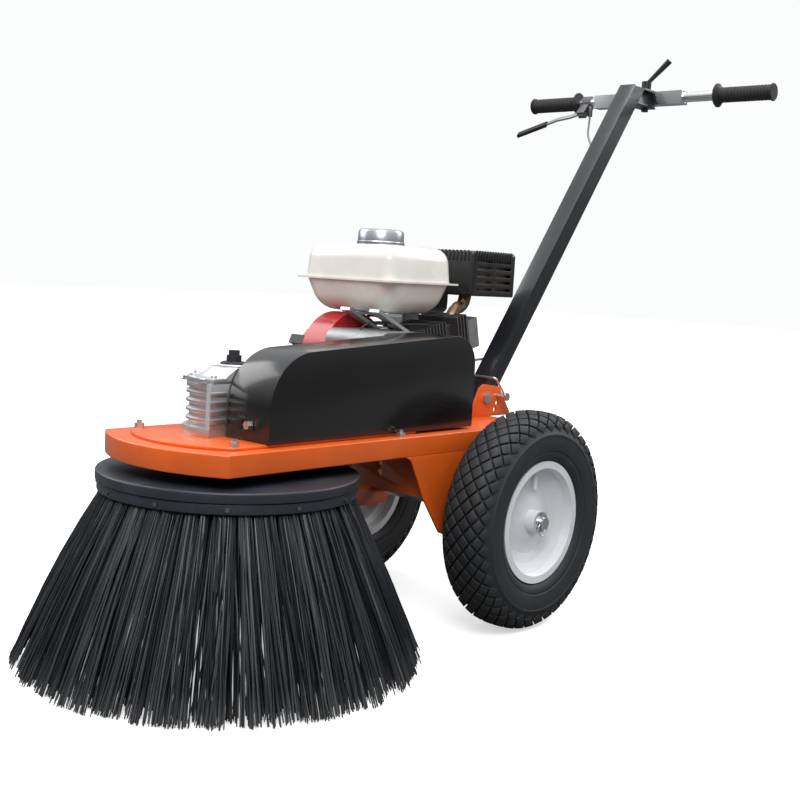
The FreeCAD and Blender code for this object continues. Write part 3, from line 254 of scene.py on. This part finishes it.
zinc = metal("zinc_plate", (0.72, 0.74, 0.77), 0.28)
wear(zinc, "axle_fittings", "pivot_bolt", "lock_pin", "lock_bail", "deck_bolts")
bright_steel = metal("bright_steel", (0.62, 0.63, 0.65), 0.3)
wear(bright_steel, "axle", "output_shaft", "worm_shaft", "crankshaft", "idler_arm", "idler_bracket",
     "idler_pulley")


# Brush discs: two moulded plastic discs, one on the other, on a dark iron hub. A ring of small iron
# screws in two staggered rows holds the bristle strips between them.
def plastic(name, colour, rough, scuff=0.3, grain=300.0, grain_depth=0.12):
    """Moulded plastic or rubber: fine texture, dull scuffs and lighter worn spots."""
    material, shader, spot = new_finish(name, Specular_IOR_Level=0.45)
    broad, fine = spot.noise(17.0, 5.0), spot.noise(grain, 3.0)
    worn = tuple(c * 1.9 + 0.012 for c in colour)
    feed(shader, Base_Color=(broad.clamp(0.5, 0.75) * scuff).blend(colour, worn),
         Roughness=broad * 0.2 + (rough - 0.1), Normal=fine.bump(grain_depth, 0.0005))
    return material


def repeated(name, unit, places):
    """One mesh of many copies of a small unit, each put in place by its own function of the points.
    Every copy gets a random value of its own in the attribute shade."""
    points = np.array([vertex.co for vertex in unit.data.vertices])
    faces = [tuple(face.vertices) for face in unit.data.polygons]
    count = len(points)
    moved = np.concatenate([place(points) for place in places])
    mesh = bpy.data.meshes.new(name)
    mesh.from_pydata(moved.tolist(), [], [tuple(i + k * count for i in face)
                                          for k in range(len(places)) for face in faces])
    shade = mesh.attributes.new("shade", "FLOAT", "POINT")
    own_shades = [random.random() for _ in places]
    shade.data.foreach_set("value", np.repeat(own_shades, count).astype(np.float32))
    piece = bpy.data.objects.new(name, mesh)
    bpy.context.scene.collection.objects.link(piece)
    bpy.data.objects.remove(unit)
    return piece


disc_plastic = plastic("disc_plastic", (0.022, 0.026, 0.034), 0.42, scuff=0.5, grain=140.0)
eased("brush_ring", "brush", "black_plastic", disc_plastic, 0.0018)
eased("brush_plate", "brush", "black_plastic", disc_plastic, 0.0012)
dark_iron = metal("dark_iron", (0.14, 0.145, 0.155), 0.5)
wear(dark_iron, "drive_flange")
brush_y = -0.455
screws, screw_reach, screw_rows = 24, 0.2075, (0.298, 0.281)
random.seed(5)
bpy.ops.mesh.primitive_cylinder_add(vertices=16, radius=0.0036, depth=0.004)
screw_places = []
for number in range(screws):
    outward = (Matrix.Rotation(math.radians(360 / screws * number + 4), 4, "Z")
               @ Matrix.Rotation(math.radians(90), 4, "Y"))
    place = np.array(Matrix.Translation((0, brush_y, screw_rows[number % 2])) @ outward
                     @ Matrix.Translation((0, 0, screw_reach)))
    screw_places.append(lambda points, place=place: points @ place[:3, :3].T + place[:3, 3])
settle(repeated("disc_screws", bpy.context.object, screw_places), "brush", "iron", dark_iron)


# Bristles: three rings of tufts of stiff flat nylon strands, which fan out from under the discs to a
# wide ring on the ground, with frayed ends and a few strays. The tips are greyed by dust.
rng = np.random.default_rng(7)
bpy.ops.mesh.primitive_cube_add(size=1, location=(0, 0, 0.5))
bpy.ops.object.transform_apply(location=True, rotation=True, scale=True)
strand = bpy.context.object
bpy.ops.object.mode_set(mode="EDIT")
for height in (0.2, 0.4, 0.6, 0.8):
    bpy.ops.mesh.select_all(action="SELECT")
    bpy.ops.mesh.bisect(plane_co=(0, 0, height), plane_no=(0, 0, 1))
bpy.ops.object.mode_set(mode="OBJECT")
root_z, strand_thick, widest = 0.2745, 0.0011, 0.331


def bristle(angle, root, reach, fan, bow, sway, twist, end, width):
    """One strand from a root radius to a tip radius; it bows outward and sways aside on the way."""
    def put(points):
        t = points[:, 2]
        radius = root + (reach - root) * (t + bow * t * (1 - t))
        turn_at = angle + fan * t + sway * np.sin(math.pi * t)
        height = root_z * (1 - t) + end * t
        wide, thick = points[:, 0] * width * (1 - 0.25 * t), points[:, 1] * strand_thick
        aside = wide * math.cos(twist) - thick * math.sin(twist)
        outward = wide * math.sin(twist) + thick * math.cos(twist)
        x = (radius + outward) * np.cos(turn_at) - aside * np.sin(turn_at)
        y = (radius + outward) * np.sin(turn_at) + aside * np.cos(turn_at)
        return np.stack([x, y + brush_y, height], axis=1)
    return put


strands = []
for ring, tufts, tip, stagger in ((0.196, 64, 0.322, 0), (0.181, 60, 0.301, 0.5), (0.165, 54, 0.280, 0.5)):
    for tuft in range(tufts):
        middle = 2 * math.pi * (tuft + stagger + rng.normal(0, 0.05)) / tufts
        tuft_lean, tuft_push = rng.normal(0, 0.012), rng.normal(0, 0.006)
        for clump in range(6):
            clump_lean, clump_push = rng.normal(tuft_lean, 0.03), tuft_push + rng.normal(0, 0.004)
            for _ in range(4):
                stray = rng.random() < 0.03
                strands.append(bristle(
                    angle=middle + rng.normal(0, 0.0045) / ring,
                    root=ring + rng.normal(0, 0.002),
                    reach=min(tip + clump_push + rng.normal(0, 0.006 if stray else 0.002), widest),
                    fan=clump_lean + rng.normal(0, 0.05 if stray else 0.008),
                    bow=rng.normal(0.10, 0.05),
                    sway=rng.normal(0, 0.004),
                    twist=rng.uniform(0, math.pi),
                    end=abs(rng.normal(0, 0.004)) + 0.0006,
                    width=rng.uniform(0.0018, 0.0029)))
brush_hair = repeated("bristle_strands", strand, strands)
hair, shader, spot = new_finish("bristle_nylon", Specular_IOR_Level=0.5)
own = spot.node("ShaderNodeAttribute", {"attribute_name": "shade"}, {}, "Fac")
dusty = spot.node("ShaderNodeSeparateXYZ", {}, {"Vector": spot}, "Z").clamp(0.05, 0.0)
tone = own.node("ShaderNodeValToRGB", {"stops": (
    (0.0, (0.004, 0.005, 0.007)), (0.6, (0.009, 0.011, 0.015)), (0.93, (0.02, 0.023, 0.03)),
    (1.0, (0.10, 0.095, 0.085)))}, {"Fac": own})
feed(shader, Base_Color=(dusty * 0.35).blend(tone, (0.12, 0.12, 0.12)), Roughness=own * 0.25 + 0.3,
     Normal=spot.noise(260.0, 2.0).bump(0.15, 0.0005))
settle(brush_hair, "brush", "bristle", hair, "bristles")


# Tyres: pneumatic rubber tyres, each a casing spun from its section, with diamond tread blocks
# between crossing grooves that follow the crown down to the shoulder.
def turned(name, profile, centre, axis, steps=96):
    """A piece spun about an axis from points of radius and height along it."""
    axis = Vector(axis).normalized()
    out = axis.orthogonal().normalized()
    points = [Vector(centre) + out * radius + axis * height for radius, height in profile]
    bpy.ops.mesh.primitive_plane_add(size=0.001)
    piece = bpy.context.object
    piece.name = name
    bpy.ops.object.mode_set(mode="EDIT")
    bpy.ops.mesh.select_all(action="SELECT")
    bpy.ops.mesh.merge(type="CENTER")
    bpy.ops.transform.translate(value=points[0])
    for before, after in zip(points, points[1:]):
        bpy.ops.mesh.extrude_region_move(TRANSFORM_OT_translate={"value": after - before})
    bpy.ops.mesh.select_all(action="SELECT")
    bpy.ops.mesh.spin(steps=steps, angle=2 * math.pi, center=centre, axis=axis)
    bpy.ops.mesh.select_all(action="SELECT")
    bpy.ops.mesh.remove_doubles(threshold=0.00001)
    bpy.ops.mesh.normals_make_consistent(inside=False)
    bpy.ops.object.mode_set(mode="OBJECT")
    return piece


tyre_rubber = plastic("tyre_rubber", (0.02, 0.021, 0.023), 0.62, scuff=0.35, grain=220.0, grain_depth=0.2)
wheel_x, axle_y, tyre_radius = 0.217, 0.068, 0.2
crown = np.array([(0.0, 0.2), (0.012, 0.1997), (0.024, 0.1982), (0.034, 0.194), (0.041, 0.187),
                  (0.0455, 0.178), (0.0485, 0.166), (0.0498, 0.15)])
crown_run = np.concatenate([[0], np.cumsum(np.hypot(*np.diff(crown, axis=0).T))])
fine_run = np.linspace(0, crown_run[-1], 200)
fine_across, fine_radius = (np.interp(fine_run, crown_run, crown[:, column]) for column in (0, 1))
slope_across, slope_radius = np.gradient(fine_across, fine_run), np.gradient(fine_radius, fine_run)


def on_crown(run):
    """Across, radius and the outward normal at a distance round the tread from its middle."""
    far, sign = np.abs(run), np.sign(run)
    along_across, along_radius = (np.interp(far, fine_run, slope) for slope in (slope_across, slope_radius))
    size = np.hypot(along_across, along_radius)
    return (sign * np.interp(far, fine_run, fine_across), np.interp(far, fine_run, fine_radius),
            -sign * along_radius / size, along_across / size)


def lug(centre_x, turn_at, run):
    """One tread block, at an angle round the tyre and a distance across its crown."""
    def put(points):
        across, radius, normal_across, normal_radius = on_crown(run + points[:, 1])
        angle = turn_at + points[:, 0] / tyre_radius
        out = radius + points[:, 2] * normal_radius
        return np.stack([centre_x + across + points[:, 2] * normal_across,
                         axle_y + out * np.cos(angle), tyre_radius + out * np.sin(angle)], axis=1)
    return put


half_section = [
    (0.1022, 0.0), (0.1022, 0.0345), (0.1128, 0.0352), (0.1165, 0.0398), (0.121, 0.0438),
    (0.1285, 0.0462), (0.1295, 0.0458), (0.1312, 0.0459), (0.1322, 0.0472), (0.1405, 0.0489),
    (0.150, 0.0496), (0.1585, 0.0492), (0.1592, 0.0499), (0.1622, 0.0497), (0.163, 0.0485),
    (0.1705, 0.0462), (0.178, 0.0405), (0.1855, 0.033), (0.1912, 0.022), (0.1935, 0.0)]
section = half_section + [(radius, -across) for radius, across in half_section[-2::-1]]
lugs_round, lug_rows, row_step, lug_deep = 40, range(-4, 5), 0.0136, 0.0085
for name, side in (("left", 1), ("right", -1)):
    hub = (wheel_x * side, axle_y, tyre_radius)
    casing = turned(name + "_casing", section, hub, (1, 0, 0), 120)
    settle(casing, name + "_wheel", "tyre", tyre_rubber, name + "_tyre", smooth=40)
    bpy.ops.mesh.primitive_cylinder_add(vertices=4, radius=1, depth=lug_deep,
                                        location=(0, 0, -lug_deep / 2), scale=(0.0134, 0.0116, 1))
    bpy.ops.object.transform_apply(location=True, rotation=True, scale=True)
    unit = bpy.context.object
    bpy.ops.object.mode_set(mode="EDIT")
    for across in ((1, 0, 0), (0, 1, 0)):
        bpy.ops.mesh.select_all(action="SELECT")
        bpy.ops.mesh.bisect(plane_co=(0, 0, 0), plane_no=across)
    bpy.ops.object.mode_set(mode="OBJECT")
    bevel = unit.modifiers.new("edge", "BEVEL")
    bevel.width, bevel.segments, bevel.limit_method = 0.0011, 2, "ANGLE"
    bevel.angle_limit = math.radians(50)
    bpy.ops.object.modifier_apply(modifier="edge")
    lugs = [lug(hub[0], 2 * math.pi * (number + 0.5 * (row % 2)) / lugs_round, row * row_step)
            for row in lug_rows for number in range(lugs_round)]
    settle(repeated(name + "_tread", unit, lugs), name + "_wheel", "tyre", tyre_rubber, smooth=50)


# Rims: white enamelled pressed steel rims that turn on nylon bushes, each held on the axle by a
# washer and a split pin with a pull ring.
rim_paint = coated("white_rim_enamel", (0.82, 0.84, 0.86), rough=0.3, coat=0.3, dust=0.0)
wear(rim_paint, "left_rim", "right_rim")
nylon = plastic("nylon_bush", (0.6, 0.58, 0.53), 0.45, scuff=0.2)
wear(nylon, "left_bush", "right_bush")
for name, side in (("left", 1), ("right", -1)):
    bpy.ops.mesh.primitive_torus_add(major_radius=0.0125, minor_radius=0.0013, major_segments=48,
                                     minor_segments=12, location=(0.2592 * side, 0.0675, 0.1885),
                                     rotation=(0.15, math.radians(90), 0.1))
    pull_ring = bpy.context.object
    pull_ring.name = name + "_pin_ring"
    settle(pull_ring, "chassis", "zinc", zinc)


# Gearbox: a ribbed aluminium casting bolted on the deck plate, with a domed lid, a rubber seal ring
# and a hexagon breather cap. The worm shaft leaves it towards the belt.
def block(name, low, high, edge=0.0, segments=3):
    """A box between two corners with its edges rolled over."""
    bpy.ops.mesh.primitive_cube_add(size=1, location=[(a + b) / 2 for a, b in zip(low, high)],
                                    scale=[b - a for a, b in zip(low, high)])
    piece = bpy.context.object
    piece.name = name
    bpy.ops.object.transform_apply(location=True, rotation=True, scale=True)
    if edge:
        bevel = piece.modifiers.new("edge", "BEVEL")
        bevel.width, bevel.segments = edge, segments
        bpy.ops.object.modifier_apply(modifier="edge")
    return piece


light_cast = metal("light_cast", (0.7, 0.71, 0.73), 0.4, grain=26.0, depth=0.3, stain=(0.32, 0.31, 0.3),
                   stain_amount=0.4)
eased("gearbox_housing", "chassis", "cast", light_cast, 0.0009, 2)
eased("gearbox_cover", "chassis", "cast", light_cast, 0.0008, 2)
wear(plastic("seal_rubber", (0.018, 0.018, 0.02), 0.5), "gearbox_seal")
wear(plastic("breather_black", (0.03, 0.03, 0.033), 0.4), "gearbox_breather")
plate_top = 0.364
foot_profile = [(0, 0), (0.0075, 0), (0.0075, 0.0015), (0.0055, 0.0015), (0.0055, 0.0065),
                (0.0048, 0.0072), (0.0026, 0.0072), (0.0026, 0.0042), (0, 0.0042)]
for name, x, y in (("near", -0.046, -0.5125), ("far", -0.046, -0.3975), ("side", 0.012, -0.5265),
                   ("back", 0.012, -0.3835)):
    foot = turned("foot_bolt_" + name, foot_profile, (x, y, plate_top + 0.0835), (0, 0, 1), 32)
    settle(foot, "chassis", "zinc", zinc)
for level in range(4):
    low = plate_top + 0.021 + 0.014 * level
    rib = block(f"flat_rib_{level}", (0.0305, -0.5275, low), (0.0335, -0.494, low + 0.008), 0.0012, 2)
    settle(rib, "chassis", "cast", light_cast)
collar_profile = [(0.0215, 0), (0.0265, 0), (0.0265, 0.003), (0.025, 0.0045), (0.0215, 0.0045)]
collar = turned("seal_collar", collar_profile, (0, brush_y, plate_top + 0.1065), (0, 0, 1), 64)
settle(collar, "chassis", "cast", light_cast)


# Belt drive: grooved iron pulleys and a rubber V-belt under a folded steel cover in gloss black
# paint, held by one bolt at its nose.
wear(metal("turned_iron", (0.3, 0.3, 0.31), 0.4), "gearbox_pulley", "engine_pulley")
wear(plastic("belt_rubber", (0.02, 0.02, 0.02), 0.7), "drive_belt")
gloss_black = coated("gloss_black_paint", (0.006, 0.006, 0.007), rough=0.2, coat=0.45, peel=0.08,
                     dust=0.008)
eased("belt_cover", "chassis", "black_paint", gloss_black, 0.0011)


# Engine castings: a small single cylinder petrol engine with its finned cylinder leaning back, cast
# aluminium that has darkened with heat and oil.
dark_cast = metal("dark_cast", (0.17, 0.17, 0.175), 0.55, grain=30.0, depth=0.3,
                  stain=(0.05, 0.05, 0.05), stain_amount=0.5)
mid_cast = metal("engine_cast", (0.42, 0.425, 0.43), 0.5, grain=30.0, depth=0.3,
                 stain=(0.08, 0.08, 0.08), stain_amount=0.6)
wear(dark_cast, "cylinder")
wear(mid_cast, "crankcase", "carburettor", "valve_cover")


# Fuel tank: two pressed steel halves welded at a narrow flange, enamelled white, on two arms above
# the engine. The halves draw in away from the seam, and a plated cap closes the filler.
wear(light_cast, "tank_bracket")
tank_paint = coated("tank_enamel", (0.86, 0.84, 0.78), rough=0.24, coat=0.5, peel=0.06, dust=0.0)
tank_top, tank_foot, level_gap = 0.685, 0.557, 1e-4
upper_half = block("tank_upper", (-0.234, -0.092, 0.6175), (-0.002, 0.098, tank_top))
lower_half = block("tank_lower", (-0.234, -0.092, tank_foot), (-0.002, 0.098, 0.6172))
for piece, face_z, narrow, roll in ((upper_half, tank_top, 0.955, 0.028),
                                    (lower_half, tank_foot, 0.83, 0.032)):
    only(piece)
    bpy.ops.object.mode_set(mode="EDIT")
    bpy.ops.mesh.select_all(action="DESELECT")
    shell = bmesh.from_edit_mesh(piece.data)
    for vertex in shell.verts:
        vertex.select = abs(vertex.co.z - face_z) < level_gap
    shell.select_flush(True)
    bmesh.update_edit_mesh(piece.data)
    bpy.ops.transform.resize(value=(narrow, narrow, 1), center_override=(-0.118, 0.003, face_z))
    bpy.ops.mesh.select_all(action="DESELECT")
    shell = bmesh.from_edit_mesh(piece.data)
    for edge in shell.edges:
        edge.select = any(abs(vertex.co.z - face_z) < level_gap for vertex in edge.verts)
    bmesh.update_edit_mesh(piece.data)
    bpy.ops.mesh.bevel(offset=roll, offset_type="OFFSET", segments=7, profile=0.5, affect="EDGES")
    bpy.ops.object.mode_set(mode="OBJECT")
    settle(piece, "chassis", "tank_white", tank_paint, "fuel_tank", smooth=60)
seam = block("tank_seam", (-0.2385, -0.0965, 0.6158), (0.0025, 0.1025, 0.6192))
only(seam)
bpy.ops.object.mode_set(mode="EDIT")
bpy.ops.mesh.select_all(action="DESELECT")
flange = bmesh.from_edit_mesh(seam.data)
for edge in flange.edges:
    edge.select = abs(edge.verts[0].co.z - edge.verts[1].co.z) > level_gap
bmesh.update_edit_mesh(seam.data)
bpy.ops.mesh.bevel(offset=0.034, offset_type="OFFSET", segments=8, profile=0.5, affect="EDGES")
bpy.ops.object.mode_set(mode="OBJECT")
settle(seam, "chassis", "tank_white", tank_paint, "fuel_tank")
cap_profile = [(0, 0.001), (0.0462, 0.001), (0.0462, 0.006), (0.0448, 0.0075), (0.0442, 0.024),
               (0.042, 0.0285), (0.037, 0.0305), (0.024, 0.0305), (0.0225, 0.0285), (0, 0.0282)]
cap = turned("tank_cap", cap_profile, (-0.12, 0.008, tank_top), (0, 0, 1))
settle(cap, "fuel_lid", "chrome", metal("cap_plate", (0.62, 0.64, 0.68), 0.24), "fuel_cap")


# Engine covers: the red enamelled fan cover and recoil housing, and the black moulded air cleaner,
# pull handle and throttle lever.
wear(coated("red_enamel", (0.5, 0.012, 0.018), rough=0.25, coat=0.5), "fan_cover", "recoil_housing")
black_moulding = plastic("black_moulding", (0.018, 0.018, 0.02), 0.38)
wear(black_moulding, "starter_handle", "throttle_lever")
eased("air_cleaner", "chassis", "black_plastic", black_moulding, 0.001)


# Muffler: a heat tinted steel can and elbow behind a black louvred guard, which has a comb of short
# ribs along the top of the two faces that show.
guard_paint = coated("guard_paint", (0.012, 0.012, 0.013), rough=0.4, coat=0.2)
eased("muffler_guard", "chassis", "black_paint", guard_paint, 0.0007, 2)
for name, low, high, step, ribs in (
        ("guard_side_ribs", (-0.001, 0.156, 0.666), (0.0016, 0.1606, 0.6868), (0, 0.0088, 0), 14),
        ("guard_front_ribs", (-0.111, 0.1464, 0.666), (-0.1064, 0.149, 0.6868), (0.0096, 0, 0), 11)):
    rib = block(name + "_unit", low, high, 0.0006, 2)
    shifts = [np.array(step) * number for number in range(ribs)]
    comb = repeated(name, rib, [lambda points, shift=shift: points + shift for shift in shifts])
    settle(comb, "chassis", "black_plastic", guard_paint)
tinted, shader, spot = new_finish("heat_tinted_steel", Metallic=1.0)
heat = spot.noise(34.0, 4.0)
feed(shader, Base_Color=heat.clamp(0.35, 0.65).blend((0.17, 0.105, 0.06), (0.3, 0.25, 0.2)),
     Roughness=heat * 0.25 + 0.33, Normal=spot.noise(300.0, 3.0).bump(0.2, 0.0004))
can = block("muffler_can", (-0.109, 0.157, 0.599), (-0.009, 0.284, 0.677), 0.012, 4)
settle(can, "chassis", "steel", tinted, "muffler")


def wire(name, points, radius):
    """A round wire, pipe or hose through smooth bends, as a mesh."""
    bpy.ops.curve.primitive_nurbs_path_add()
    line = bpy.context.object
    line.name = name
    line.data.splines.clear()
    run = line.data.splines.new("NURBS")
    run.points.add(len(points) - 1)
    for point, spot in zip(run.points, points):
        point.co = (*spot, 1)
    run.order_u, run.use_endpoint_u = 3, True
    line.data.resolution_u = 10
    line.data.bevel_depth, line.data.bevel_resolution, line.data.use_fill_caps = radius, 3, True
    only(line)
    bpy.ops.object.convert(target="MESH")
    return bpy.context.object


elbow = wire("exhaust_elbow", [(-0.036, 0.132, 0.548), (-0.036, 0.142, 0.572), (-0.036, 0.172, 0.574),
                               (-0.036, 0.176, 0.604)], 0.0125)
settle(elbow, "chassis", "steel", tinted)


# Engine leads: the rubber covered spark lead and stop wire, and the pull cord. Only a few
# millimetres of cord show at rest, between the housing and the handle.
lead_rubber = plastic("lead_rubber", (0.015, 0.015, 0.016), 0.45)
spark_lead = wire("spark_lead", [(-0.118, 0.122, 0.512), (-0.15, 0.115, 0.52), (-0.152, 0.05, 0.548),
                                 (-0.128, -0.02, 0.55), (-0.112, -0.03, 0.522)], 0.0034)
settle(spark_lead, "chassis", "rubber", lead_rubber)
stop_wire = wire("stop_wire", [(-0.052, -0.115, 0.52), (-0.05, -0.10, 0.545), (-0.02, -0.03, 0.538),
                               (-0.015, 0.03, 0.54), (-0.02, 0.07, 0.535)], 0.0018)
settle(stop_wire, "chassis", "rubber", lead_rubber)
pull_cord = wire("pull_cord", [(-0.2115, -0.0979, 0.4888), (-0.2115, -0.1029, 0.4911),
                               (-0.2115, -0.1075, 0.4933), (-0.2115, -0.1124, 0.4956)], 0.0018)
settle(pull_cord, None, "cable", plastic("cord_nylon", (0.04, 0.04, 0.043), 0.75))
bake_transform(pull_cord)


# Handle: a square steel tube in satin black paint, leaning back from a bracket at the rear of the
# deck, with two welded jaws at the top that hold a chromed sleeve and a straight chromed bar.
satin_black = coated("satin_black_paint", (0.014, 0.016, 0.02), rough=0.3, coat=0.35, peel=0.1, dust=0.02)
eased("column", "handle", "column_paint", satin_black, 0.0028, 4)
eased("bar_bracket", "handle", "black_paint", satin_black, 0.0008, 2)
wear(black_moulding, "clamp_lever")
chrome = metal("chrome_plate", (0.8, 0.81, 0.83), 0.14, stain=(0.5, 0.5, 0.5), stain_amount=0.2)
eased("bar_sleeve", "bars", "chrome", chrome, 0.002)
wear(chrome, "handlebar")


# Grips: soft black rubber pushed over the bar's ends, with a flange at the hand's inner side,
# fifteen low ribs and a rounded closed end.
grip_rubber = plastic("grip_rubber", (0.016, 0.016, 0.017), 0.6)
bar_end, end_wall, grip_length, bar_y, bar_z = 0.308, 0.004, 0.133, 0.758, 1.065
ribbed = [(0.0112, 0.0), (0.0245, 0.0), (0.026, 0.0015), (0.026, 0.0035), (0.0235, 0.005), (0.0155, 0.0095)]
for rib in range(15):
    low = 0.012 + rib * 0.0076
    ribbed += [(0.0155, low), (0.0168, low + 0.0012), (0.0168, low + 0.0042), (0.0155, low + 0.0054)]
ribbed += [(0.0155, 0.1275), (0.019, 0.129), (0.019, 0.1315), (0.0175, grip_length), (0, grip_length)]
for name, side in (("left_grip", 1), ("right_grip", -1)):
    grip_at = (side * (bar_end + end_wall - grip_length), bar_y, bar_z)
    settle(turned(name + "_ribbed", ribbed, grip_at, (side, 0, 0), 48), "bars", "rubber", grip_rubber, name)


# Clutch lever: a cast clamp on the bar and an alloy blade with a rubber tip, which swings up to the
# grip beside it.
eased("lever_clamp", "bars", "cast", dark_cast, 0.0006, 2)
blade_metal = metal("lever_alloy", (0.5, 0.51, 0.52), 0.3)
eased("clutch_lever", "lever", "cast", blade_metal, 0.0012, 3)
eased("lever_tip", "lever", "rubber", grip_rubber, 0.0022, 3)


# Clutch cable: a grey plastic sheath that leaves the lever clamp, runs down the side of the column
# and crosses the pivot in a loose bend to the back of the belt cover.
sheath = plastic("cable_sheath", (0.2, 0.21, 0.22), 0.4)
sheath_radius = 0.0025
upper = wire("cable_upper_run", [
    (-0.14, 0.746, 1.029), (-0.138, 0.741, 1.008), (-0.134, 0.732, 0.985), (-0.07, 0.66, 0.94),
    (-0.022, 0.55523, 0.89189), (-0.022, 0.50798, 0.82733), (-0.022, 0.41349, 0.69822),
    (-0.022, 0.31899, 0.5691), (-0.022, 0.26583, 0.49648)], sheath_radius)
settle(upper, None, "cable", sheath, "cable_upper")
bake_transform(upper)
lower = wire("cable_lower_run", [
    (-0.022, 0.26465, 0.49486), (-0.022, 0.24575, 0.46904), (-0.022, 0.18855, 0.46877),
    (0.02, 0.133, 0.444), (0.06, 0.06, 0.419), (0.06, 0.007, 0.419)], sheath_radius)
settle(lower, None, "cable", sheath, "cable_lower")
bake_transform(lower)
